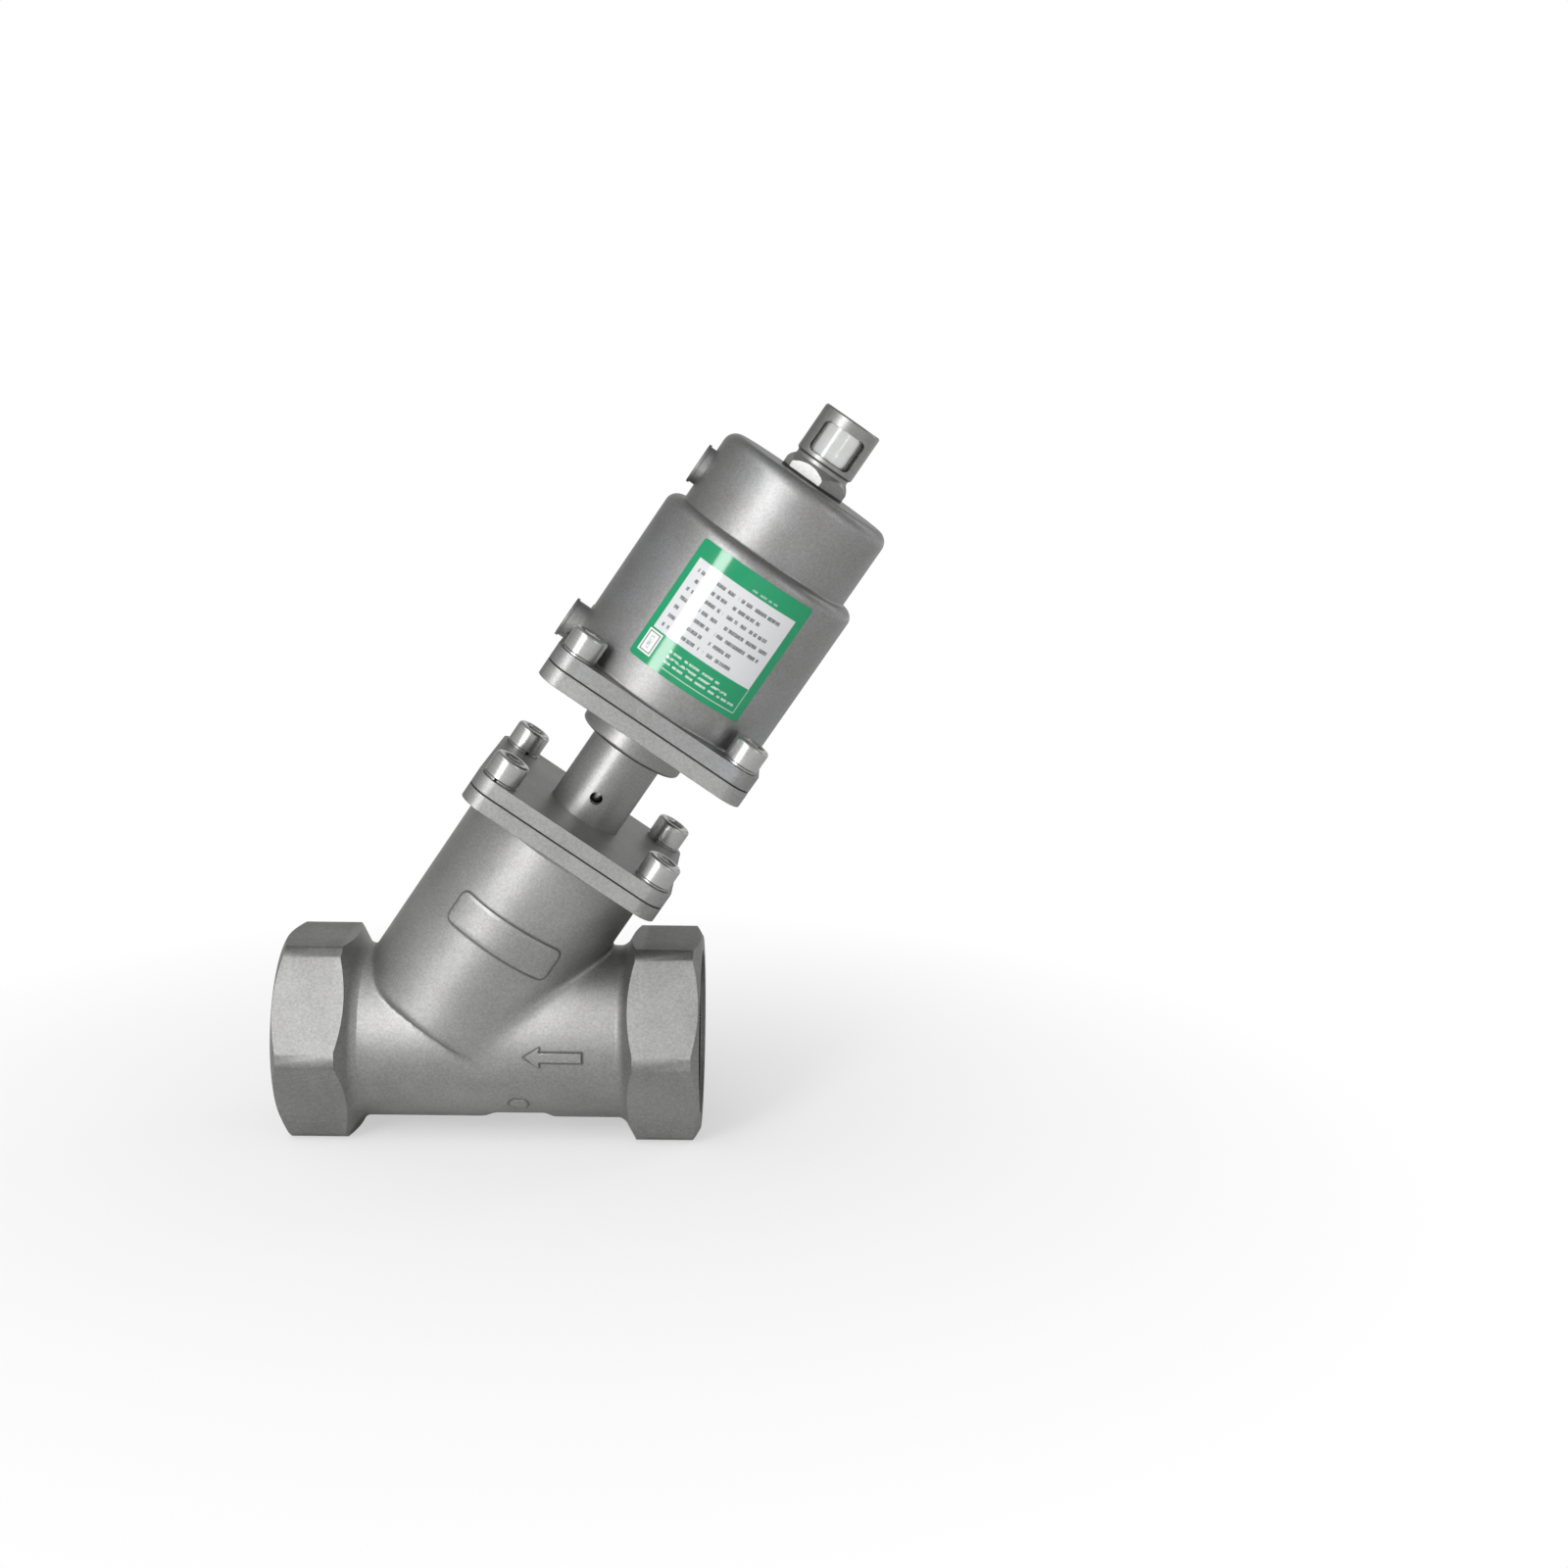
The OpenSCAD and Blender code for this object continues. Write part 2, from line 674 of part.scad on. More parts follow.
module body_outside() {
    hex_end();
    translate([face_to_face, 0, 0])
        mirror([1, 0, 0])
            hex_end();
    barrel();
    along_stem()
        rotate_extrude()
            neck_profile();
    along_stem(body_flange_h)
        linear_extrude(body_flange_t)
            rounded_rect(bonnet_w, bonnet_w, bonnet_corner_r);
}

module flow_passage() {
    along_pipe(-cut)
        cylinder(r = passage_r, h = face_to_face + 2 * cut);
}

module outlet_chamber() {
    intersection() {
        flow_passage();
        along_stem(seat_h - seat_wall - far)
            translate([-far / 2, -far / 2, 0])
                cube(far);
    }
}

module inlet_chamber() {
    intersection() {
        flow_passage();
        along_stem(seat_h)
            translate([-far / 2, -far / 2, 0])
                cube(far);
    }
}

module valve_body() {
    color(cast_steel)
        difference() {
            union() {
                difference() {
                    body_outside();
                    outlet_chamber();
                    inlet_chamber();
                    along_stem(seat_h)
                        cylinder(r = cavity_r, h = bonnet_joint_h - seat_h + cut);
                }
                along_stem(seat_h - cut)
                    cylinder(r = seat_bore_r + seat_lip_w, h = seat_lip_h + cut);
            }
            along_stem(seat_h - seat_wall - cut)
                cylinder(r = seat_bore_r, h = seat_wall + seat_lip_h + 2 * cut);
            along_pipe(-cut)
                cylinder(d = port_d, h = port_depth + cut);
            along_pipe(face_to_face - port_depth)
                cylinder(d = port_d, h = port_depth + cut);
            along_stem(body_flange_h - cut)
                at_four(bonnet_screw_pitch)
                    cylinder(d = screw_d, h = body_flange_t + 2 * cut);
        }
}

// Bonnet

module bonnet_gasket() {
    color(black_rubber)
        along_stem(bonnet_joint_h)
            square_plate(bonnet_w - 2 * gasket_inset, bonnet_corner_r, bonnet_gasket_t,
                cavity_r, bonnet_screw_pitch, screw_d / 2 + screw_play);
}

module bonnet_plate() {
    color(plate_steel)
        along_stem(bonnet_h)
            square_plate(bonnet_w, bonnet_corner_r, bonnet_t,
                tube_r + joint_fit, bonnet_screw_pitch, screw_d / 2 + screw_play);
}

module bonnet_screws() {
    color(bright_steel)
        along_stem(bonnet_top_h + washer_t)
            at_four(bonnet_screw_pitch)
                socket_screw();
}

module bonnet_washers() {
    color(bright_steel)
        along_stem(bonnet_top_h)
            at_four(bonnet_screw_pitch)
                ring(washer_r, screw_d / 2 + running_fit, washer_t);
}

module yoke_tube() {
    color(bright_steel)
        along_stem()
            difference() {
                rotate_extrude()
                    polygon([
                        [0, tube_bottom_h], [spigot_r, tube_bottom_h],
                        [spigot_r, bonnet_h - shoulder_t], [shoulder_r, bonnet_h - shoulder_t],
                        [shoulder_r, bonnet_h], [tube_r, bonnet_h], [tube_r, swivel_flange_h],
                        [swivel_flange_r, swivel_flange_h], [swivel_flange_r, tube_top_h],
                        [0, tube_top_h]
                    ]);
                translate([0, 0, packing_floor_h])
                    cylinder(r = packing_r, h = tube_top_h - packing_floor_h + cut);
                translate([0, 0, tube_bottom_h - cut])
                    cylinder(r = stem_r + running_fit, h = tube_floor_t + 2 * cut);
                translate([0, 0, bonnet_top_h + weep_hole_h])
                    rotate([90, 0, 0])
                        cylinder(d = weep_hole_d, h = tube_d);
            }
}

// Stem packing: chevron rings between two support rings, pressed by disc springs and a gland

module packing_profile(low_rise, low_t, high_rise) {
    r_in = stem_r + running_fit;
    r_out = packing_r - joint_fit;
    polygon([
        [r_in, 0], [packing_mid_r, low_rise], [r_out, 0],
        [r_out, low_t], [packing_mid_r, low_t + high_rise], [r_in, low_t]
    ]);
}

module packing_lower_ring() {
    color(bright_steel)
        along_stem(packing_floor_h)
            rotate_extrude()
                packing_profile(0, support_ring_t, chevron_rise);
}

module packing_rings() {
    color(white_plastic)
        for (i = [0 : packing_count - 1])
            along_stem(packing_h + i * packing_pitch)
                rotate_extrude()
                    packing_profile(chevron_rise, packing_t, chevron_rise);
}

module packing_upper_ring() {
    color(bright_steel)
        along_stem(upper_ring_h)
            rotate_extrude()
                packing_profile(chevron_rise, support_ring_t + chevron_rise, 0);
}

module disc_spring(inner_up) {
    r_in = stem_r + disc_spring_play;
    r_out = packing_r - disc_spring_play;
    z_in = inner_up ? disc_spring_rise : 0;
    z_out = disc_spring_rise - z_in;
    rotate_extrude()
        polygon([
            [r_in, z_in], [r_out, z_out], [r_out, z_out + disc_spring_t], [r_in, z_in + disc_spring_t]
        ]);
}

module packing_springs() {
    color(bright_steel)
        for (i = [0 : disc_spring_count - 1])
            along_stem(disc_stack_h + i * disc_spring_pitch)
                disc_spring(i % 2 == 0);
}

module packing_gland() {
    color(bronze)
        along_stem(gland_h)
            difference() {
                ring(packing_r - joint_fit, stem_r + running_fit, gland_len);
                translate([-packing_r, -gland_slot_w / 2, gland_len - gland_slot_depth])
                    cube([2 * packing_r, gland_slot_w, gland_slot_depth + cut]);
            }
}

// Actuator base, screwed to the swivel collar that holds the yoke tube's flange

module swivel_collar() {
    color(bright_steel)
        along_stem(collar_bottom_h)
            difference() {
                rotate_extrude() {
                    polygon([
                        [0, 0], [collar_r - collar_edge_r, 0], [collar_r, collar_edge_r],
                        [collar_r, collar_h], [0, collar_h]
                    ]);
                    translate([collar_r - collar_edge_r, collar_edge_r])
                        circle(collar_edge_r);
                }
                translate([0, 0, -cut])
                    cylinder(r = tube_r + running_fit, h = collar_h);
                translate([0, 0, collar_lip_t])
                    cylinder(r = swivel_recess_r, h = collar_h);
            }
}

module actuator_base() {
    color(plate_steel)
        along_stem()
            difference() {
                union() {
                    translate([0, 0, base_h])
                        linear_extrude(base_t)
                            rounded_rect(actuator_w, actuator_w, actuator_corner_r);
                    translate([0, 0, boss_bottom_h])
                        cylinder(r = swivel_recess_r - joint_fit, h = base_h - boss_bottom_h + cut);
                    translate([0, 0, base_top_h - cut])
                        cylinder(d = base_hub_d, h = base_hub_h + cut);
                    translate([0, 0, base_top_h - cut])
                        cylinder(r = cylinder_r - joint_fit, h = base_gasket_t + register_h + cut);
                }
                translate([0, 0, boss_bottom_h - cut])
                    cylinder(r = bush_r + joint_fit, h = hub_top_h - boss_bottom_h + 2 * cut);
                translate([0, 0, stem_seal_base_h])
                    cylinder(r = stem_seal_r + joint_fit, h = stem_seal_h + seal_ring_t + cut);
                translate([0, 0, base_h - cut])
                    at_four(actuator_screw_pitch)
                        cylinder(d = screw_d, h = base_t + 2 * cut);
            }
}

module base_gasket() {
    color(black_rubber)
        along_stem(base_top_h)
            square_plate(actuator_w - 2 * gasket_inset, actuator_corner_r, base_gasket_t,
                cylinder_r, actuator_screw_pitch, screw_d / 2 + screw_play);
}

module stem_bush() {
    color(bronze)
        along_stem(boss_bottom_h)
            ring(bush_r, stem_r + running_fit, stem_seal_base_h - boss_bottom_h);
}

module stem_seal() {
    color(black_rubber)
        along_stem(stem_seal_base_h)
            ring(stem_seal_r, stem_r + running_fit, stem_seal_h);
}

module stem_seal_ring() {
    color(bright_steel)
        along_stem(seal_ring_h)
            ring(stem_seal_r, stem_r + disc_spring_play, seal_ring_t);
}

// Actuator housing: one cast shell in two diameters, with two threaded bosses for air

module housing_profile() {
    difference() {
        union() {
            polygon([
                [0, 0], [housing_r, 0], [housing_r, ledge_h - ledge_round_r],
                [housing_r - ledge_round_r, ledge_h], [0, ledge_h]
            ]);
            translate([housing_r - ledge_round_r, ledge_h - ledge_round_r])
                circle(ledge_round_r);
            polygon([
                [0, ledge_h - cut], [dome_r + ledge_fillet_r, ledge_h - cut],
                [dome_r + ledge_fillet_r, ledge_h], [dome_r, ledge_h + ledge_fillet_r],
                [dome_r, housing_h - dome_round_r], [dome_r - dome_round_r, housing_h],
                [0, housing_h]
            ]);
            translate([dome_r - dome_round_r, housing_h - dome_round_r])
                circle(dome_round_r);
            polygon([
                [0, 0], [housing_r + housing_fillet_r, 0],
                [housing_r + housing_fillet_r, housing_flange_t],
                [housing_r, housing_flange_t + housing_fillet_r],
                [0, housing_flange_t + housing_fillet_r]
            ]);
        }
        translate([dome_r + ledge_fillet_r, ledge_h + ledge_fillet_r])
            circle(ledge_fillet_r);
        translate([housing_r + housing_fillet_r, housing_flange_t + housing_fillet_r])
            circle(housing_fillet_r);
    }
}

module air_boss(wall_r, length, z) {
    translate([0, 0, z])
        rotate([0, -90, 0]) {
            translate([0, 0, wall_r - housing_wall / 2])
                cylinder(d = boss_d, h = length + housing_wall / 2);
            translate([0, 0, wall_r + length - boss_rim_t])
                cylinder(d = boss_d + 2 * boss_rim_w, h = boss_rim_t);
        }
}

module air_bore(wall_r, length, z) {
    translate([0, 0, z])
        rotate([0, -90, 0])
            translate([0, 0, wall_r / 2])
                cylinder(d = air_port_d, h = wall_r / 2 + length + cut);
}

module actuator_housing() {
    upper_port_z = housing_h - upper_port_depth;
    color(cast_steel)
        along_stem(housing_seat_h)
            difference() {
                union() {
                    rotate_extrude()
                        housing_profile();
                    linear_extrude(housing_flange_t)
                        rounded_rect(actuator_w, actuator_w, actuator_corner_r);
                    air_boss(housing_r, lower_boss_len, lower_port_h);
                    air_boss(dome_r, upper_boss_len, upper_port_z);
                }
                translate([0, 0, -cut])
                    cylinder(r = cylinder_r, h = ledge_h - housing_wall + cut);
                cylinder(r = dome_r - dome_wall, h = housing_h - dome_top_t);
                cylinder(d = indicator_spigot_d + 2 * joint_fit, h = housing_h + cut);
                air_bore(housing_r, lower_boss_len, lower_port_h);
                air_bore(dome_r, upper_boss_len, upper_port_z);
                at_four(actuator_screw_pitch)
                    translate([0, 0, -cut])
                        cylinder(r = screw_d / 2 + screw_play, h = housing_flange_t + 2 * cut);
            }
}

module actuator_screws() {
    color(bright_steel)
        along_stem(housing_seat_h + housing_flange_t + washer_t)
            at_four(actuator_screw_pitch)
                socket_screw();
}

module actuator_washers() {
    color(bright_steel)
        along_stem(housing_seat_h + housing_flange_t)
            at_four(actuator_screw_pitch)
                ring(washer_r, screw_d / 2 + running_fit, washer_t);
}

module label() {
    color(label_green)
        along_stem(housing_seat_h + label_z)
            rotate(label_turn)
                intersection() {
                    translate([0, 0, -label_h])
                        ring(housing_r + joint_fit + label_t, housing_r + joint_fit, 2 * label_h);
                    rotate([90, 0, 0])
                        linear_extrude(2 * housing_r)
                            rounded_rect(label_w, label_h, label_corner_r);
                }
}

// Position indicator on top of the actuator

module indicator_washer() {
    color(black_rubber)
        along_stem(housing_top_h)
            ring(indicator_r + indicator_washer_w, indicator_spigot_d / 2 + joint_fit,
                indicator_washer_t);
}

module indicator_outside() {
    tip_r = indicator_af / 2 / cos(hex_half_angle);
    waist_r = indicator_r - waist_depth;
    waist_top = indicator_hex_h + waist_h;
    corner_slope = indicator_corner_drop / (tip_r - waist_r);
    intersection() {
        linear_extrude(indicator_h)
            rotate(indicator_hex_turn)
                hexagon(indicator_af);
        rotate_extrude()
            polygon([
                [0, 0], [tip_r + cut, 0],
                [tip_r + cut, indicator_hex_h - indicator_corner_drop - cut * corner_slope],
                [waist_r, indicator_hex_h], [waist_r, waist_top - waist_depth],
                [indicator_r, waist_top], [indicator_r, indicator_h - head_chamfer],
                [indicator_r - head_chamfer, indicator_h], [0, indicator_h]
            ]);
    }
    translate([0, 0, -indicator_washer_t - dome_top_t])
        cylinder(d = indicator_spigot_d, h = indicator_washer_t + dome_top_t + cut);
}

module indicator_housing() {
    color(bright_steel)
        along_stem(indicator_base_h)
            difference() {
                indicator_outside();
                translate([0, 0, -indicator_washer_t - dome_top_t - cut])
                    cylinder(r = indicator_bore_r,
                        h = indicator_h - indicator_roof_t + indicator_washer_t + dome_top_t + cut);
                translate([0, 0, glass_seat_h - indicator_base_h])
                    cylinder(r = glass_r + joint_fit, h = roof_h - glass_seat_h);
                translate([0, 0, window_low_h + window_h / 2 - indicator_base_h])
                    rotate([90, 0, 0])
                        linear_extrude(2 * (indicator_r + cut), center = true)
                            rounded_rect(window_w, window_h, window_r);
            }
}

module sight_tube() {
    color(clear_tube)
        along_stem(glass_seat_h)
            ring(glass_r, glass_r - glass_wall, roof_h - glass_seat_h - axial_play);
}

// Closing spring between the piston and the housing's top, with one closed turn at each end

function spring_z(t) =
    t < 1 ? closed_pitch * t
    : t > spring_turns - 1 ? spring_rise - closed_pitch * (spring_turns - t)
    : closed_pitch + (t - 1) / (spring_turns - 2) * (spring_rise - 2 * closed_pitch);

function wire_point(t, a) =
    let (r = spring_r + wire_d / 2 * cos(a))
    [r * cos(360 * t), r * sin(360 * t), spring_z(t) + wire_d / 2 * sin(a)];

module closing_spring() {
    rings = round(spring_turns * wire_steps);
    points = [
        for (i = [0 : rings], j = [0 : wire_sides - 1])
            wire_point(spring_turns * i / rings, 360 * j / wire_sides)
    ];
    walls = [
        for (i = [0 : rings - 1], j = [0 : wire_sides - 1])
            let (k = (j + 1) % wire_sides)
            [i * wire_sides + j, (i + 1) * wire_sides + j, (i + 1) * wire_sides + k,
                i * wire_sides + k]
    ];
    first_end = [for (j = [0 : wire_sides - 1]) j];
    last_end = [for (j = [wire_sides - 1 : -1 : 0]) rings * wire_sides + j];
    color(bright_steel)
        along_stem(spring_low_h)
            polyhedron(points, concat([first_end], walls, [last_end]), convexity = 10);
}

// Stem with the valve disc below and the piston above

module stem() {
    color(bright_steel)
        along_stem()
            rotate_extrude()
                polygon([
                    [0, stem_bottom_h], [stem_end_r, stem_bottom_h], [stem_end_r, stem_shoulder_h],
                    [stem_r, stem_shoulder_h], [stem_r, piston_bottom_h],
                    [stem_end_r, piston_bottom_h], [stem_end_r, stem_top_h], [0, stem_top_h]
                ]);
}

module valve_disc() {
    color(bright_steel)
        along_stem(disc_h)
            difference() {
                translate([0, 0, -disc_skirt])
                    cylinder(r = disc_r, h = disc_skirt + disc_t);
                translate([0, 0, -disc_skirt - cut])
                    cylinder(r = seal_r + joint_fit, h = disc_skirt + cut);
                translate([0, 0, -cut])
                    cylinder(r = stem_end_r + joint_fit, h = disc_t + 2 * cut);
                translate([0, 0, disc_t - disc_socket])
                    cylinder(r = stem_r + joint_fit, h = disc_socket + cut);
            }
}

module seat_seal() {
    color(white_plastic)
        along_stem(seal_h)
            ring(seal_r, stem_end_r + joint_fit, seal_t);
}

module seal_retainer() {
    color(bright_steel)
        along_stem(retainer_h)
            ring(retainer_r, stem_end_r + joint_fit, retainer_t);
}

module disc_nut() {
    color(bright_steel)
        along_stem(retainer_h)
            mirror([0, 0, 1])
                nut();
}

module piston() {
    rim_in_r = piston_r - piston_rim_w;
    color(plate_steel)
        along_stem()
            difference() {
                rotate_extrude()
                    polygon([
                        [stem_end_r + joint_fit, piston_bottom_h], [piston_hub_d / 2, piston_bottom_h],
                        [piston_hub_d / 2, web_h], [rim_in_r, web_h], [rim_in_r, piston_bottom_h],
                        [piston_r, piston_bottom_h], [piston_r, piston_top_h],
                        [rim_in_r, piston_top_h], [rim_in_r, web_top_h],
                        [stem_end_r + joint_fit, web_top_h]
                    ]);
                translate([0, 0, seal_groove_h])
                    ring(cylinder_r, seal_groove_r, piston_seal_h);
                translate([0, 0, guide_groove_h])
                    ring(cylinder_r, guide_groove_r, guide_ring_h);
            }
}

module piston_seal() {
    color(black_rubber)
        along_stem(seal_groove_h + axial_play / 2)
            ring(piston_ring_r, seal_groove_r + joint_fit, piston_seal_h - axial_play);
}

module piston_guide_ring() {
    color(white_plastic)
        along_stem(guide_groove_h + axial_play / 2)
            ring(piston_ring_r, guide_groove_r + joint_fit, guide_ring_h - axial_play);
}

module piston_nut() {
    color(bright_steel)
        along_stem(web_top_h)
            nut();
}

module indicator_rod() {
    socket_top_h = stem_top_h + indicator_socket_wall;
    color(indicator_red)
        along_stem()
            difference() {
                union() {
                    translate([0, 0, upper_nut_top_h])
                        cylinder(r = socket_r, h = socket_top_h - upper_nut_top_h);
                    translate([0, 0, upper_nut_top_h])
                        cylinder(r = indicator_rod_r, h = cap_bottom_h - upper_nut_top_h + cut);
                    translate([0, 0, cap_bottom_h])
                        cylinder(r = cap_r, h = cap_len);
                }
                translate([0, 0, upper_nut_top_h - cut])
                    cylinder(r = stem_end_r + joint_fit, h = indicator_grip + joint_fit + cut);
            }
}

valve_body();
bonnet_gasket();
bonnet_plate();
bonnet_screws();
bonnet_washers();
yoke_tube();
packing_lower_ring();
packing_rings();
packing_upper_ring();
packing_springs();
packing_gland();
swivel_collar();
actuator_base();
base_gasket();
stem_bush();
stem_seal();
stem_seal_ring();
actuator_housing();
actuator_screws();
actuator_washers();
label();
indicator_washer();
indicator_housing();
sight_tube();
closing_spring();
stem();
valve_disc();
seat_seal();
seal_retainer();
disc_nut();
piston();
piston_seal();
piston_guide_ring();
piston_nut();
indicator_rod();
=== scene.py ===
# %% [markdown]
# # A pneumatic angle seat valve
# The real valve is a Y-shaped stainless casting with threaded pipe ends. A square bonnet closes its
# neck, and a piston actuator sits on a tube above it. The exact solids come from the CAD frame. This
# lesson gives them their metal, rubber and film, and adds what exact solids leave out: rounded edges,
# casting blends, threads and cast marks. Loading the frame comes first, because every later step
# measures from it.

# %% Load the CAD frame
import json
import math
import random

import bmesh
import bpy
from mathutils import Matrix, Vector
from mathutils.bvhtree import BVHTree


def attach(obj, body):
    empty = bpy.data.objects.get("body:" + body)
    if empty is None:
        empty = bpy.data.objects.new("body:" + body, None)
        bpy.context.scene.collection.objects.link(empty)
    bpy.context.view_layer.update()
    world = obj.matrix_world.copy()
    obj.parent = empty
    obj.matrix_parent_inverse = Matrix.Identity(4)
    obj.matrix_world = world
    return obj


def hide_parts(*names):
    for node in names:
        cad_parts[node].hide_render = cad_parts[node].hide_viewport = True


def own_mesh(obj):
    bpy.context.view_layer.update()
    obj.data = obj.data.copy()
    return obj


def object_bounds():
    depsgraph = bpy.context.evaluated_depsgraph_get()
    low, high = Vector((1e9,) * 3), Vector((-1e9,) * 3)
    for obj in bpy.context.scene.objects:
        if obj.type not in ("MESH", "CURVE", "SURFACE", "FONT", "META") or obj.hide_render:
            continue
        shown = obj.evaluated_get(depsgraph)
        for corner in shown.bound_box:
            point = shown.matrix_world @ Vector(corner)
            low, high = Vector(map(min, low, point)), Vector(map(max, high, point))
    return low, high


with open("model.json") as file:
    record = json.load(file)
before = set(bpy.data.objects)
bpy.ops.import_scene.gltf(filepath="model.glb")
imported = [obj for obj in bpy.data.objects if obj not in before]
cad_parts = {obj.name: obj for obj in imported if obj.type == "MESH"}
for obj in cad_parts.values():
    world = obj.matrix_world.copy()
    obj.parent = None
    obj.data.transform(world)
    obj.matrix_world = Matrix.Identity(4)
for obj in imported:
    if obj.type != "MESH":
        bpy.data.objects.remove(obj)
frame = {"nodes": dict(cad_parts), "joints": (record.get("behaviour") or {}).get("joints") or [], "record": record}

MM = 0.001
cad_box = [list(corner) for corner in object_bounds()]
nodes = frame["nodes"]


def in_mm(box):
    return [[round(value / MM, 1) for value in corner] for corner in box]


print("CAD nodes:", len(nodes), "box in mm:", in_mm(cad_box))

# %% [markdown]
# ## Two frames
# The pipe lies along X. The stem leans, and everything above the body is turned about it, so a second
# frame runs along the stem: `across`, away from the viewer, and up the stem. The swivel joint in the
# frame already holds the stem's direction and a point on it, so nothing is typed in twice.

# %% Find the stem's own frame
joints = {joint["name"]: joint for joint in frame["joints"]}
stem_up = Vector(joints["actuator_swivel"]["axis"]).normalized()
stem_foot = Vector(joints["actuator_swivel"]["pos_m"])
stem_across = Vector((stem_up.z, 0, -stem_up.x))
stem_frame = Matrix((stem_across, Vector((0, 1, 0)), stem_up)).transposed().to_4x4()
stem_frame.translation = stem_foot
print("Stem leans", round(math.degrees(math.asin(stem_up.z)), 1), "degrees above the pipe")


def on_stem(across, away, height):
    """A point given in mm in the stem's frame."""
    return stem_frame @ (Vector((across, away, height)) * MM)


# %% [markdown]
# ## Camera
# The photograph was taken with a normal lens from three quarters of a metre, a little above the
# valve and looking slightly down. The numbers come from fitting a pinhole camera to the corners of
# the hexagons, the flanges and the housing. A long side of 36 mm makes the fitted focal length a lens
# in millimetres.


# %% Place the camera
def add_object(name, data):
    """A new object that holds this data, linked into the scene."""
    made = bpy.data.objects.new(name, data)
    bpy.context.scene.collection.objects.link(made)
    return made


camera_data = bpy.data.cameras.new("camera")
camera = add_object("camera", camera_data)
bpy.context.scene.camera = camera
camera_data.sensor_width = 36
camera_data.lens = 48.776
camera_data.clip_start = 0.01
camera.location = Vector((178.6, -747.4, 236.4)) * MM
camera_turn = (Matrix.Rotation(math.radians(-0.031), 4, "Z")
               @ Matrix.Rotation(math.radians(90 - 10.881), 4, "X")
               @ Matrix.Rotation(math.radians(0.641), 4, "Z"))
camera.rotation_euler = camera_turn.to_euler()
print("Camera", round(camera.location.length, 3), "m from the outlet, lens", camera_data.lens, "mm")

# %% [markdown]
# ## Shader maths as formulas
# A material is a graph of nodes, and long graphs are hard to read in code. This class wraps one
# socket, so that `fine * 0.3 + broad` adds the Math nodes by itself. Any other node comes from one
# method that sets the node's choices first and then its inputs.


# %% A socket that can be used in formulas
class Socket:
    def __init__(self, tree, socket=None):
        self.tree = tree
        self.socket = socket

    def node(self, kind, settings=None, inputs=None, out=0):
        made = self.tree.nodes.new(kind)
        for name, value in (settings or {}).items():
            setattr(made, name, value)
        for key, value in (inputs or {}).items():
            if isinstance(value, Socket):
                self.tree.links.new(value.socket, made.inputs[key])
            else:
                made.inputs[key].default_value = value
        return Socket(self.tree, made.outputs[out])

    def maths(self, operation, *others):
        """A Math node with this value first and the others after it."""
        return self.node("ShaderNodeMath", {"operation": operation}, dict(enumerate((self, *others))))

    def maths_after(self, operation, other):
        """A Math node with the other value first."""
        return self.node("ShaderNodeMath", {"operation": operation}, {0: other, 1: self})

    def __add__(self, other):
        return self.maths("ADD", other)

    def __radd__(self, other):
        return self.maths_after("ADD", other)

    def __sub__(self, other):
        return self.maths("SUBTRACT", other)

    def __rsub__(self, other):
        return self.maths_after("SUBTRACT", other)

    def __mul__(self, other):
        return self.maths("MULTIPLY", other)

    def __rtruediv__(self, other):
        return self.maths_after("DIVIDE", other)

    def between(self, low, high):
        """0 below low, 1 above high, straight in between."""
        return self.node("ShaderNodeMapRange", {"clamp": True},
                         {"Value": self, "From Min": low, "From Max": high})

    def mix(self, first, second):
        """The first colour where this value is 0 and the second where it is 1."""
        return self.node("ShaderNodeMix", {"data_type": "RGBA"}, {0: self, 6: first, 7: second}, out=2)

    def dot(self, direction):
        return self.node("ShaderNodeVectorMath", {"operation": "DOT_PRODUCT"},
                         {0: self, 1: tuple(direction)}, out="Value")

    def along(self, direction):
        """How far a place lies in a direction, in mm."""
        return self.dot(direction) * (1 / MM)


print("Sockets can be added, subtracted, multiplied and mixed")


# %% Helpers that start and feed a material
def rgb(*values):
    """A colour as the nodes want it, with full opacity."""
    return (*values, 1.0)


def shaded(colour, share):
    """A colour with only that share of its light."""
    return rgb(*(value * share for value in colour))


def new_material(name, **constants):
    """A material, its Principled shader, and the place on the object, where its formulas start."""
    material = bpy.data.materials.new(name)
    material.use_nodes = True
    shader = material.node_tree.nodes["Principled BSDF"]
    for key, value in constants.items():
        shader.inputs[key.replace("_", " ").title().replace("Ior", "IOR")].default_value = value
    place = Socket(material.node_tree).node("ShaderNodeTexCoord", out="Object")
    return material, shader, place


def feed(shader, **links):
    tree = shader.id_data
    for key, value in links.items():
        tree.links.new(value.socket, shader.inputs[key.replace("_", " ").title()])


def noise(place, size_mm, detail=2.0, roughness=0.5):
    """Noise whose cells are about size_mm wide on the real piece."""
    return place.node("ShaderNodeTexNoise", None,
                      {"Vector": place, "Scale": 1 / (size_mm * MM), "Detail": detail,
                       "Roughness": roughness})


def bump(height, depth_mm):
    """A normal that follows a height from 0 to 1, which is depth_mm on the real piece."""
    return height.node("ShaderNodeBump", None,
                       {"Height": height, "Strength": 1.0, "Distance": depth_mm * MM})


print("Shader helpers ready")
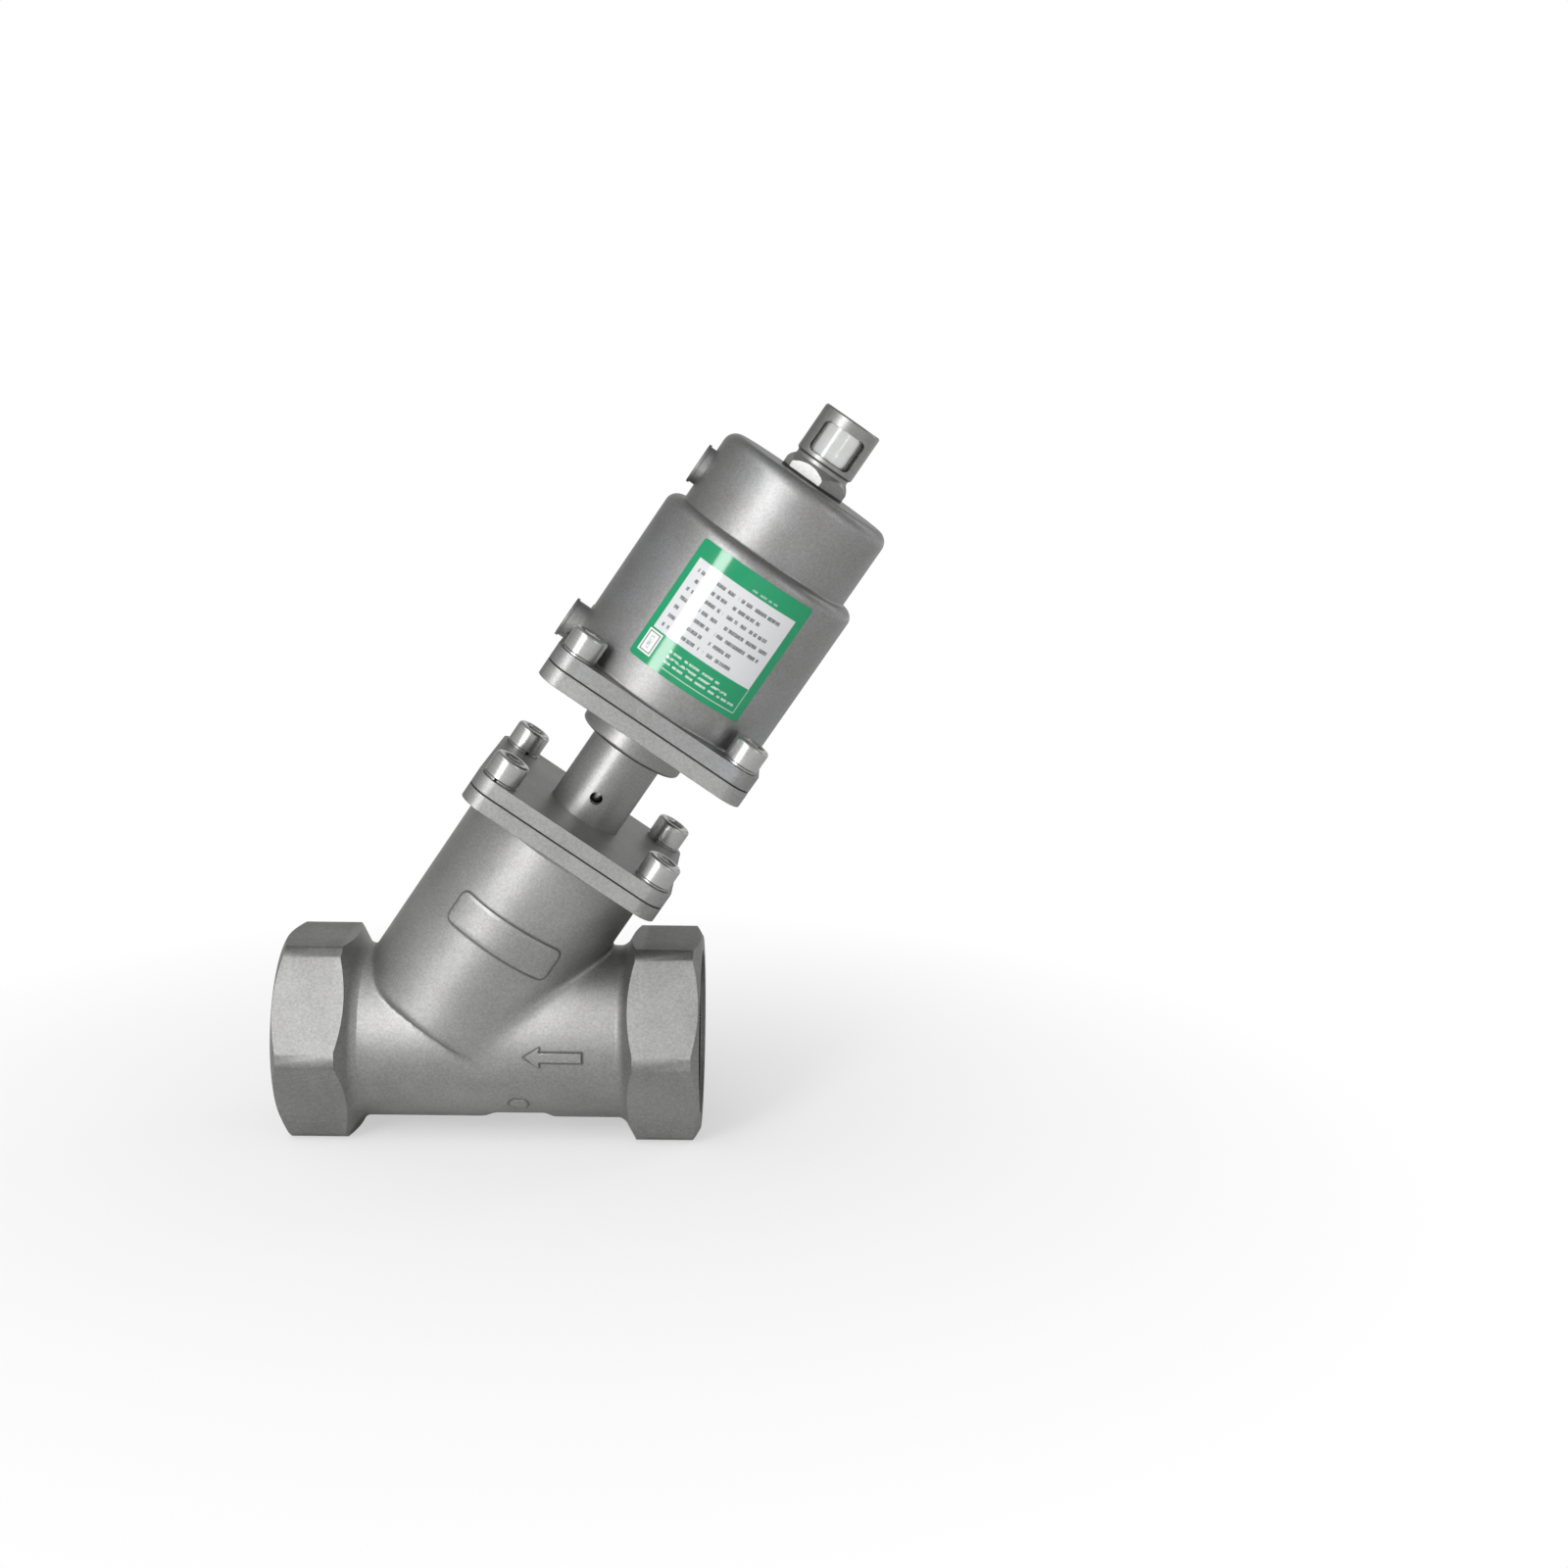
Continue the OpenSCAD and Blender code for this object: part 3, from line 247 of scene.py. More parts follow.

# %% [markdown]
# ## Blasted steel
# The castings and plates were blasted with fine beads, which leaves a soft, satin metal. Up close it
# is a field of tiny dents with a little sparkle, and from afar a broad glow with faint clouds and
# stains. Four noises make these, from fine to broad, and the two fine ones also make the relief. The
# hexagons at the pipe's ends are a shade darker and rougher in the photograph. The lower side of the
# barrel near them is made rougher too, and carries painted shade beside the hexagons.


# %% Make the blasted metals
# The depth of the dents in mm, and how strongly painted shade darkens the foot of a cast mark
DENT_DEPTH = 0.05
RIM_SHADE = 0.65
# The shade of the pipe's ends fades between these places, in mm along the pipe
OUTLET_HEXAGON = (21.0, 23.5)
OUTLET_BARREL = (23.5, 50.0)
INLET_BARREL = (96.0, 128.0)
INLET_HEXAGON = (128.0, 130.5)
# On the barrel it also fades between these heights above the pipe's axis
BARREL_TOP = (28.0, 40.0)


def blasted_steel(name, dark, light, grain_mm, roughness, darker_and_rougher=None):
    """A blasted metal. Where the formula `darker_and_rougher` gives 1, it is a shade darker and rougher."""
    material, shader, place = new_material(name, metallic=1.0)
    dents = noise(place, grain_mm, 3.0, 0.6)
    sparkle = noise(place, grain_mm * 0.45, 1.0)
    clouds = noise(place, 14.0, 3.0)
    stains = noise(place, 30.0, 4.0, 0.65)
    tone = (dents.between(0.36, 0.64) * 0.4 + sparkle.between(0.3, 0.7) * 0.25
            + clouds.between(0.3, 0.7) * 0.15 + stains.between(0.42, 0.60) * 0.2)
    colour = tone.mix(rgb(*dark), rgb(*light))
    roughness = roughness + sparkle * 0.06 + clouds * 0.06
    if darker_and_rougher:
        darker_share = darker_and_rougher(place)
        colour = darker_share.mix(colour, tone.mix(shaded(dark, 0.80), shaded(light, 0.90)))
        roughness = roughness + darker_share * 0.08
    # Where the attribute rim is 1, at the foot of a cast mark, the colour is painted darker as shade
    rim = place.node("ShaderNodeAttribute", {"attribute_name": "rim"}, out="Fac")
    feed(shader, base_color=(rim * RIM_SHADE).mix(colour, shaded(dark, 0.35)), roughness=roughness,
         normal=bump(dents * 0.7 + sparkle * 0.3, DENT_DEPTH))
    return material


def at_pipe_ends(place):
    """1 on the two hexagons, fading out along the barrel beside them."""
    x, z = (place.along(axis) for axis in ((1, 0, 0), (0, 0, 1)))
    hexagons = x.between(*INLET_HEXAGON) + 1 - x.between(*OUTLET_HEXAGON)
    # The barrel beside the hexagons gets painted shade, strongest next to them and on its lower side
    beside = (x.between(*INLET_BARREL) + 1 - x.between(*OUTLET_BARREL)) * (1 - z.between(*BARREL_TOP))
    return hexagons.maths("MAXIMUM", beside * 0.9)


cast_metal = blasted_steel("blasted casting", (0.26, 0.259, 0.256), (0.415, 0.413, 0.408),
                           grain_mm=0.9, roughness=0.42, darker_and_rougher=at_pipe_ends)
shell_metal = blasted_steel("blasted shell", (0.244, 0.235, 0.220), (0.357, 0.366, 0.381),
                            grain_mm=0.9, roughness=0.42)
plate_metal = blasted_steel("blasted plate", (0.25, 0.25, 0.248), (0.41, 0.41, 0.406),
                            grain_mm=0.8, roughness=0.43)
print("Metals:", cast_metal.name, shell_metal.name, plate_metal.name)

# %% [markdown]
# ## Turned and polished steel
# The tube, the collar and the indicator were turned on a lathe, so fine rings run round them. The
# rings follow the height on the stem, which a dot product with the stem's direction gives. Screws are
# tumbled bright, with hardly any relief.


# %% Make the machined metals
def turned_steel(name, dark, light, ring_mm, groove_mm, roughness):
    material, shader, place = new_material(name, metallic=1.0)
    height = place.dot(stem_up) * (1 / (ring_mm * MM))
    rings = height.node("ShaderNodeTexNoise", {"noise_dimensions": "1D"},
                        {"W": height, "Scale": 1.0, "Detail": 3.0})
    grain = noise(place, 0.7, 2.0)
    tone = rings.between(0.3, 0.7) * 0.5 + grain.between(0.3, 0.7) * 0.5
    feed(shader, base_color=tone.mix(rgb(*dark), rgb(*light)), roughness=roughness - 0.04 + rings * 0.08,
         normal=bump(rings * 0.7 + grain * 0.3, groove_mm))
    return material


turned_metal = turned_steel("turned steel", (0.23, 0.229, 0.226), (0.36, 0.358, 0.354),
                            ring_mm=0.25, groove_mm=0.006, roughness=0.42)
bright_metal = turned_steel("bright steel", (0.44, 0.44, 0.435), (0.60, 0.60, 0.595),
                            ring_mm=0.5, groove_mm=0.003, roughness=0.26)
screw_metal = turned_steel("screw steel", (0.40, 0.40, 0.395), (0.52, 0.52, 0.515),
                           ring_mm=0.6, groove_mm=0.0004, roughness=0.30)
print("Metals:", turned_metal.name, bright_metal.name, screw_metal.name)

# %% [markdown]
# ## Rubber, plastics and bronze
# The gaskets show only as thin black lines, but they still get a fine grain, because a flat black
# looks like a hole in the picture. The packing, seat and guide ring are a white waxy plastic. The
# bush and the gland are bronze. The indicator cap is a red moulding.


# %% Make the soft and coloured materials
def moulded(name, dark, light, grain_mm, dent_mm, roughness, metallic=0.0):
    material, shader, place = new_material(name, metallic=metallic)
    grain = noise(place, grain_mm, 3.0)
    clouds = noise(place, 8.0)
    tone = (grain * 0.5 + clouds * 0.5).between(0.3, 0.7)
    feed(shader, base_color=tone.mix(rgb(*dark), rgb(*light)), roughness=roughness + grain * 0.12,
         normal=bump(grain, dent_mm))
    return material


black_rubber = moulded("black rubber", (0.008, 0.008, 0.008), (0.022, 0.022, 0.022), 0.5, 0.03, 0.55)
white_plastic = moulded("white plastic", (0.78, 0.78, 0.74), (0.90, 0.90, 0.87), 0.6, 0.01, 0.38)
red_plastic = moulded("red plastic", (0.62, 0.03, 0.015), (0.74, 0.05, 0.025), 0.6, 0.01, 0.32)
bronze = moulded("bronze", (0.50, 0.30, 0.12), (0.66, 0.42, 0.19), 0.8, 0.008, 0.28, 1.0)
print("Soft materials:", black_rubber.name, white_plastic.name, red_plastic.name, bronze.name)

# %% [markdown]
# ## Clear sleeve
# Behind the indicator's windows sits a clear plastic tube. Only its rims and sides show, as slightly
# darker bands, and the middle is looked straight through. A fully transmitting shader with the
# refraction of acrylic does that, with faint haze from a noise on its roughness.

# %% Make the clear plastic
clear_plastic, shader, place = new_material("clear plastic", transmission_weight=1.0, ior=1.46)
haze = noise(place, 3.0)
feed(shader, base_color=haze.mix(rgb(0.78, 0.785, 0.78), rgb(0.84, 0.845, 0.84)),
     roughness=0.10 + haze * 0.10)
print("Clear plastic ready")

# %% [markdown]
# ## The label
# The label is a printed film on the cylinder. Its print follows the surface, so the shader turns
# Object coordinates into a height on the stem and an arc round it, both in mm, and draws every patch
# as a product of soft steps. The words of the real label are left out. Rows of plain bars, broken at
# random places by a noise, stand where they were.

# %% Measure on the label
HOUSING_R = 38.6


def stem_axes(place):
    """How far a place lies up the stem, across it and towards the viewer from it, in mm."""
    local = place.node("ShaderNodeVectorMath", {"operation": "SUBTRACT"},
                       {0: place, 1: tuple(stem_foot)})
    return [local.along(direction) for direction in (stem_up, stem_across, (0, -1, 0))]


label_film, shader, place = new_material("label film", coat_weight=1.0, coat_roughness=0.10,
                                         specular_ior_level=0.05)
up, across, toward = stem_axes(place)
arc = across.maths("ARCTAN2", toward) * HOUSING_R


def band(value, low, high, soft=0.12):
    """1 between low and high, with soft edges of that width in mm."""
    return value.between(low - soft, low + soft) * (1 - value.between(high - soft, high + soft))


def patch(left, right, bottom, top):
    return band(arc, left, right) * band(up, bottom, top)


print("The print is laid out on a radius of", HOUSING_R, "mm")

# %% Lay out the fields and the rows
TOP_ROW = 196.2
ROW_STEP = 3.62
ROW_ENDS = (17.5, 11.5, 17.0, 19.8, 18.7, 9.3, 11.7)
white_field = patch(-18.3, 22.1, 172.7, 200.8)
rows = None
for index, end in enumerate(ROW_ENDS):
    bottom = TOP_ROW - index * ROW_STEP
    for left, right in ((-16.3, -13.4), (-8.2, -1.0), (0.6, end)):
        row = patch(left, right, bottom + 0.15, bottom + 1.5)
        rows = row if rows is None else rows + row
head_row = patch(2.8, 12.8, 201.7, 202.4)
foot_rows = patch(-8.5, 11.5, 168.9, 169.7) + patch(-8.5, 16.0, 166.9, 167.7)
foot_rows = foot_rows + patch(-8.5, 20.4, 164.9, 165.7)
foot_box = patch(-18.9, -13.4, 163.4, 172.0)
box_line = patch(-18.4, -13.9, 163.9, 171.5) * (1 - patch(-17.9, -14.4, 164.4, 171.0))
box_rows = patch(-17.0, -15.4, 165.2, 170.2)
corner_line = patch(-8.0, 22.3, 162.9, 163.2) + patch(22.0, 22.3, 163.2, 172.7)
# Each row reads the noise at a place of its own, so that no two rows break alike
row_number = ((up - 170.9) * (1 / ROW_STEP)).maths("FLOOR")
breaks = arc.node("ShaderNodeTexNoise", {"noise_dimensions": "1D"},
                  {"W": arc * 0.55 + row_number * 13.7, "Scale": 1.0, "Detail": 0.0})
breaks = breaks.between(0.38, 0.42)
print("Rows of bars:", len(ROW_ENDS))

# %% Colour them
ink = noise(place, 0.8, 1.0).between(0.3, 0.6)
green = noise(place, 6.0).mix(rgb(0.0005, 0.235, 0.098), rgb(0.001, 0.265, 0.112))
colour = white_field.mix(green, rgb(0.60, 0.605, 0.62))
colour = (rows * breaks * (0.6 + ink * 0.3)).mix(colour, rgb(0.09, 0.095, 0.10))
white_print = (foot_rows + head_row * 0.6) * breaks * (0.4 + ink * 0.3) + foot_box + corner_line * 0.6
colour = white_print.maths("MINIMUM", 1.0).mix(colour, rgb(0.74, 0.76, 0.75))
colour = (box_line * 0.8 + box_rows * ink * 0.5).mix(colour, rgb(0.10, 0.12, 0.12))
feed(shader, base_color=colour, roughness=0.30 + noise(place, 1.2) * 0.08)
print("Label film ready")

# %% [markdown]
# ## Rounded copies of the solids
# A CAD solid has perfectly sharp edges, and sharp edges catch no light. Each visible solid is copied,
# its loose triangles are merged and its flat faces joined, and then a Bevel modifier rounds every
# edge sharper than thirty degrees. The bevel is applied, so that the piece is a plain mesh. The copy
# stands for the CAD node, which stays in the physics.


# %% Helpers that finish a piece
def link_piece(name, mesh, material, body, stands_for=()):
    """A finished piece of the valve. It rides on a body and may stand for CAD nodes."""
    piece = add_object(name, mesh)
    mesh.materials.clear()
    mesh.materials.append(material)
    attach(piece, body)
    if stands_for:
        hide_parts(*stands_for)
    return piece


def smooth_by_angle(mesh, degrees):
    """Smooth shading, with every edge sharper than that kept crisp."""
    mesh.polygons.foreach_set("use_smooth", [True] * len(mesh.polygons))
    mesh.set_sharp_from_angle(angle=math.radians(degrees))
    mesh.update()


def rework(mesh, steps):
    """Opens a mesh in bmesh, lets a function change it, and writes it back."""
    work = bmesh.new()
    work.from_mesh(mesh)
    steps(work)
    work.to_mesh(mesh)
    work.free()


print("Helpers for finished pieces ready")

# %% A rounded copy of a CAD node
SHARP_ANGLE = 30


def weld(work):
    bmesh.ops.remove_doubles(work, verts=work.verts, dist=2e-6)
    bmesh.ops.dissolve_limit(work, angle_limit=math.radians(0.4), verts=work.verts, edges=work.edges)


def merged_mesh(node, name):
    """The node's mesh as one welded surface with its flat faces joined."""
    mesh = nodes[node].data.copy()
    mesh.name = name
    rework(mesh, weld)
    return mesh


def plain_mesh(holder):
    """What the modifiers of an object make of its mesh. The object itself is removed."""
    made = bpy.data.meshes.new_from_object(holder.evaluated_get(bpy.context.evaluated_depsgraph_get()))
    bpy.data.objects.remove(holder)
    return made


def rounded_mesh(mesh, width_mm):
    """The mesh with its sharp edges rounded and its flat faces shaded flat, as a new plain mesh."""
    mesh.polygons.foreach_set("use_smooth", [True] * len(mesh.polygons))
    holder = add_object("holder", mesh)
    bevel = holder.modifiers.new("edge rounding", "BEVEL")
    bevel.width = width_mm * MM
    bevel.segments = 2
    bevel.limit_method = "ANGLE"
    bevel.angle_limit = math.radians(SHARP_ANGLE)
    bevel.use_clamp_overlap = True
    bevel.miter_outer = "MITER_ARC"
    weighted = holder.modifiers.new("flat faces", "WEIGHTED_NORMAL")
    weighted.weight = 80
    return plain_mesh(holder)


def rounded_copy(node, material, body, width_mm, change=None):
    mesh = merged_mesh(node, node + " rounded")
    if change:
        change(mesh)
    mesh = rounded_mesh(mesh, width_mm)
    link_piece(node + "_rounded", mesh, material, body, (node,))
    print(node, "rounded,", len(mesh.polygons), "faces")


print("Edges sharper than", SHARP_ANGLE, "degrees are rounded")

# %% [markdown]
# ## Plates, tube, collar and housing
# These are the parts that the eye reads first. The plates were milled and then blasted, so their
# edges are broken by about a third of a millimetre, and those of the turned parts by a quarter. The
# housing's large radii are in its solid already, so its copy is rounded least. The body is a rough
# casting, and its edges are rounded most.

# %% Round the plates and the turned parts
PLATE_EDGE = 0.35
TURNED_EDGE = 0.25
SHELL_EDGE = 0.22
CAST_EDGE = 0.8
rounded_copy("bonnet_plate", plate_metal, "valve", PLATE_EDGE)
rounded_copy("actuator_base", plate_metal, "actuator", PLATE_EDGE)
rounded_copy("yoke_tube", turned_metal, "valve", TURNED_EDGE)
rounded_copy("swivel_collar", turned_metal, "actuator", TURNED_EDGE)
rounded_copy("indicator_housing", turned_metal, "actuator", TURNED_EDGE)

# %% [markdown]
# ## Room for the threads
# The CAD bores have the minor diameter of their pipe threads, which is where the crests of a thread
# end. A thread's roots lie deeper, so the copies get their bore walls moved outward before they are
# rounded. A point counts as bore wall if its distance from the port's axis is the bore's radius. The
# mounts in the frame's record hold each port's place, radius and depth.

# %% Widen the port bores of the body and the housing
threads = {
    "outlet_port": {"body": "valve", "root": 29.75, "pitch": 2.309, "steps": 96},
    "inlet_port": {"body": "valve", "root": 29.75, "pitch": 2.309, "steps": 96},
    "lower_air_port": {"body": "actuator", "root": 4.86, "pitch": 0.907, "steps": 40},
    "upper_air_port": {"body": "actuator", "root": 4.86, "pitch": 0.907, "steps": 40},
}
mounts = {mount["name"]: mount for mount in frame["record"]["mounts"]}
for name, thread in threads.items():
    thread["mouth"] = Vector(mounts[name]["pos_m"])
    thread["outward"] = Vector(mounts[name]["axis"]).normalized()
    thread["crest"] = mounts[name]["dims"]["r_mm"]
    thread["depth"] = mounts[name]["dims"]["length_mm"]


def widen_bores(body):
    """A mesh change that moves the bore walls of one body's ports out to the thread roots."""
    def change(mesh):
        moved = 0
        for vertex in mesh.vertices:
            for thread in threads.values():
                offset = vertex.co - thread["mouth"]
                along = offset.dot(thread["outward"])
                radial = offset - along * thread["outward"]
                near = abs(radial.length / MM - thread["crest"]) < 0.03
                # The air bores run on through the wall, so points past the thread's depth count too
                if thread["body"] == body and near and -thread["depth"] * 1.6 * MM < along < 1 * MM:
                    vertex.co += radial * (thread["root"] / thread["crest"] - 1)
                    moved += 1
        print("Moved", moved, "bore points of the", body)
    return change


rounded_copy("actuator_housing", shell_metal, "actuator", SHELL_EDGE,
             widen_bores("actuator"))
rounded_copy("valve_body", cast_metal, "valve", CAST_EDGE, widen_bores("valve"))

# %% [markdown]
# ## Recipes in Geometry Nodes
# What repeats, or follows a path or a rule, is made by Geometry Nodes. A recipe is a node tree with
# named inputs. It is run once on an empty object, with its inputs set by their socket identifiers, and
# what comes out is kept as a plain mesh. The Socket class from the shaders writes these trees too,
# because they share the Math and Vector Math nodes.


# %% Helpers that build and run a recipe
def new_recipe(name, inputs):
    """A node tree with named inputs, and a Socket for each input."""
    tree = bpy.data.node_groups.new(name, "GeometryNodeTree")
    tree.is_modifier = True
    for label, value in inputs.items():
        kind = {int: "NodeSocketInt", float: "NodeSocketFloat"}.get(type(value), "NodeSocketObject")
        item = tree.interface.new_socket(name=label, in_out="INPUT", socket_type=kind)
        if kind != "NodeSocketObject":
            item.default_value = value
    tree.interface.new_socket(name="Geometry", in_out="OUTPUT", socket_type="NodeSocketGeometry")
    group = tree.nodes.new("NodeGroupInput")
    return tree, {label: Socket(tree, group.outputs[label]) for label in inputs}


def end_recipe(tree, geometry, material):
    real = geometry.node("GeometryNodeRealizeInstances", None, {"Geometry": geometry})
    painted = real.node("GeometryNodeSetMaterial", None, {"Geometry": real, "Material": material})
    tree.links.new(painted.socket, tree.nodes.new("NodeGroupOutput").inputs["Geometry"])


def run_recipe(tree, settings):
    """The plain mesh that a recipe makes with these inputs."""
    holder = add_object("holder", bpy.data.meshes.new("holder"))
    modifier = holder.modifiers.new("recipe", "NODES")
    modifier.node_group = tree
    for item in tree.interface.items_tree:
        if item.in_out == "INPUT" and item.name in settings:
            modifier[item.identifier] = settings[item.name]
    holder.update_tag()
    bpy.context.view_layer.update()
    return plain_mesh(holder)


print("Recipe helpers ready")

# %% [markdown]
# ## The casting's skin
# In the real casting the neck doesn't meet the barrel in a sharp line. On the outlet side there is a
# tight crease, and towards the inlet the crease opens into a soft valley that runs up to the hexagon.
# Distances make such a blend simple: each shape is a field that says how far a point is from its
# surface, and a smooth minimum of two fields joins the shapes with a fillet of any size. The recipe
# fills a block of voxels with that field and takes the surface out of it. The skin is a closed shell
# that lies a tenth of a millimetre above the solid and reaches into its wall. It runs along the pipe
# between the hexagons and up the stem to the flange, and it follows the flat under the barrel where
# the casting's gate was cut off.

# %% Write the skin's recipe
# The skin's ends and the corners of the block of voxels, in mm
SKIN_START = 22.0
SKIN_END = 128.0
SKIN_TOP = 88.5
BLOCK_LOW = Vector((21.0, -38.5, -33.0))
BLOCK_HIGH = Vector((129.0, 38.5, 95.0))
# The flat, in mm along the pipe, and how far it is turned towards the viewer
GATE_MIDDLE = 84.0
GATE_HALF = 10.0
GATE_DEPTH = 1.3
GATE_TURN = math.radians(20)


def hypotenuse(a, b):
    return (a * a + b * b).maths("SQRT")


skin_inputs = {"Voxel": 0.9, "Lift": 0.12, "Wall": 2.0, "Barrel Radius": 31.2, "Neck Radius": 35.0,
               "Neck Base": 8.0, "Neck Edge": 2.5, "Tight Crease": 1.6, "Soft Valley": 5.0}
skin_tree, given = new_recipe("casting skin", skin_inputs)
place = given["Voxel"].node("GeometryNodeInputPosition")
x, y, z = (place.along(axis) for axis in ((1, 0, 0), (0, 1, 0), (0, 0, 1)))
up, across, toward = stem_axes(place)
from_pipe = hypotenuse(y, z)
from_stem = hypotenuse(across, toward)

barrel = from_pipe - given["Barrel Radius"]
beyond_gate = ((x - GATE_MIDDLE).maths("ABSOLUTE") - GATE_HALF).maths("MAXIMUM", 0.0)
gate = place.along((0, -math.sin(GATE_TURN), -math.cos(GATE_TURN)))
gate = (gate - given["Barrel Radius"] + GATE_DEPTH - beyond_gate * 0.5) * 0.9
barrel = barrel.maths("SMOOTH_MAX", gate, 0.8)
side = from_stem - given["Neck Radius"] + given["Neck Edge"]
below = given["Neck Base"] + given["Neck Edge"] - up
corner = hypotenuse(side.maths("MAXIMUM", 0.0), below.maths("MAXIMUM", 0.0))
neck = corner + side.maths("MAXIMUM", below).maths("MINIMUM", 0.0) - given["Neck Edge"]
blend = across.between(2.0, 28.0)
blend = given["Tight Crease"] + blend * (given["Soft Valley"] - given["Tight Crease"])
surface = barrel.maths("SMOOTH_MIN", neck, blend) - given["Lift"]
shell = surface.maths("MAXIMUM", 0 - surface - given["Wall"])
for plane in (SKIN_START - x, x - SKIN_END, up - SKIN_TOP):
    shell = shell.maths("MAXIMUM", plane)

counts = [(size / given["Voxel"]).maths("ROUND") for size in BLOCK_HIGH - BLOCK_LOW]
block = shell.node("GeometryNodeVolumeCube", None,
                   {"Density": 0.5 - shell * 0.25, "Background": 0.0, "Min": tuple(BLOCK_LOW * MM),
                    "Max": tuple(BLOCK_HIGH * MM), "Resolution X": counts[0],
                    "Resolution Y": counts[1], "Resolution Z": counts[2]})
taken = block.node("GeometryNodeVolumeToMesh", None,
                   {"Volume": block, "Threshold": 0.5, "Adaptivity": 0.0})
end_recipe(skin_tree, taken, cast_metal)
print("Skin recipe:", len(skin_tree.nodes), "nodes")

# %% Grow the skin
skin_mesh = run_recipe(skin_tree, skin_inputs)
skin_mesh.name = "casting skin"


def face_outwards(work):
    if work.calc_volume(signed=True) < 0:
        bmesh.ops.reverse_faces(work, faces=work.faces)


rework(skin_mesh, face_outwards)
smooth_by_angle(skin_mesh, 60)
link_piece("casting_skin", skin_mesh, cast_metal, "valve")
print("Skin:", len(skin_mesh.polygons), "faces")

# %% [markdown]
# ## Cast marks
# An arrow on the barrel points the way of the flow, towards the outlet. The real casting also carries
# its size in raised letters on the neck. No lettering is copied, so a low blank pad takes its place.
# Under the barrel is the rough scar where the gate was broken off. All three are drawn flat as
# outlines, cut into a fine grid, and then laid on the skin: a ray towards the axis finds the surface
# under each point. A narrow apron round the foot carries painted shade that outlines such marks.


# %% Draw and raise a mark
# The width of a mark's slope and the step of its grid, in mm
MARK_SLOPE = 0.6
MARK_GRID = 1.5


def rounded_outline(points, radius, steps=5):
    """The outline's corners replaced by short arcs."""
    result = []
    for index, point in enumerate(points):
        here = Vector(point)
        before = (Vector(points[index - 1]) - here).normalized()
        after = (Vector(points[(index + 1) % len(points)]) - here).normalized()
        for step in range(steps + 1):
            share = step / steps
            result.append(here + before * radius * (1 - share) ** 2 + after * radius * share ** 2)
    return result


def raised_mark(name, outline, height, wrap):
    """A low closed relief: wrap(a, b, lift) places a flat point at a lift above the skin.

    The attribute `rim` is 1 round the foot and 0 on top, for the painted shade round a cast mark's foot.
    """
    work = bmesh.new()
    rim = work.verts.layers.float.new("rim")
    rings = []
    # Each ring has an inset from the outline, a lift above the skin and a share of painted shade
    apron = [(-0.75, -1.2, 0.0), (-0.75, 0.03, 0.0), (-0.35, 0.05, 1.0), (0.0, 0.07, 1.0)]
    slope = [(MARK_SLOPE * 0.5, height - 0.15, 0.3), (MARK_SLOPE, height, 0.0)]
    for inset, lift, shade_share in apron + slope:
        ring = []
        count = len(outline)
        for index, point in enumerate(outline):
            tangent = (outline[(index + 1) % count] - outline[index - 1]).normalized()
            inward = Vector((-tangent.y, tangent.x))
            vertex = work.verts.new((*(point + inward * inset), lift))
            vertex[rim] = shade_share
            ring.append(vertex)
        rings.append(ring)
    for lower, upper in zip(rings, rings[1:]):
        for index in range(len(lower)):
            after = (index + 1) % len(lower)
            work.faces.new((lower[index], lower[after], upper[after], upper[index]))
    top = work.faces.new(rings[-1])
    bottom = work.faces.new(list(reversed(rings[0])))
    bmesh.ops.triangulate(work, faces=[top, bottom])
    for position in range(-30, 31):
        for normal in ((1, 0, 0), (0, 1, 0)):
            origin = Vector(normal) * position * MARK_GRID
            bmesh.ops.bisect_plane(work, geom=work.verts[:] + work.edges[:] + work.faces[:],
                                   plane_co=origin, plane_no=normal, dist=1e-5)
    for vertex in work.verts:
        vertex.co = wrap(*vertex.co)
    bmesh.ops.recalc_face_normals(work, faces=work.faces)
    mesh = bpy.data.meshes.new(name)
    work.to_mesh(mesh)
    work.free()
    smooth_by_angle(mesh, 50)
    return mesh


print("Marks rise over", MARK_SLOPE, "mm")

# %% Lay the marks on the skin
BARREL_SKIN_R = 31.3
NECK_SKIN_R = 35.1
ARROW_X = 98.5
PAD_HEIGHT = 52.5
SCAR_X = 86.0
SCAR_TURN = math.radians(40)
SCAR_POINTS = 12
# A twelfth of a turn between its points, in radians
SCAR_STEP = 0.5236
skin_surface = BVHTree.FromPolygons([vertex.co.copy() for vertex in skin_mesh.vertices],
                                    [tuple(polygon.vertices) for polygon in skin_mesh.polygons])


def on_skin(axis_point, outward, lift):
    """The skin's surface in a direction from an axis point, and a lift above it, in metres."""
    outside = axis_point + outward * (60 * MM)
    hit = skin_surface.ray_cast(outside, -outward)[0]
    return hit + outward * (lift * MM)


def on_barrel(a, b, lift):
    angle = b / BARREL_SKIN_R
    outward = Vector((0, -math.cos(angle), math.sin(angle)))
    return on_skin(Vector((ARROW_X + a, 0, 0)) * MM, outward, lift)


def on_neck(a, b, lift):
    angle = a / NECK_SKIN_R
    middle = on_stem(0, 0, PAD_HEIGHT + b)
    beside = on_stem(math.sin(angle), -math.cos(angle), PAD_HEIGHT + b)
    return on_skin(middle, (beside - middle).normalized(), lift)


def on_gate(a, b, lift):
    angle = SCAR_TURN + b / BARREL_SKIN_R
    outward = Vector((0, -math.cos(angle), -math.sin(angle)))
    return on_skin(Vector((SCAR_X + a, 0, 0)) * MM, outward, lift)


def add_mark(name, outline, height, wrap):
    mesh = raised_mark(name, outline, height, wrap)
    link_piece(name, mesh, cast_metal, "valve")
    print(name, len(mesh.polygons), "faces")


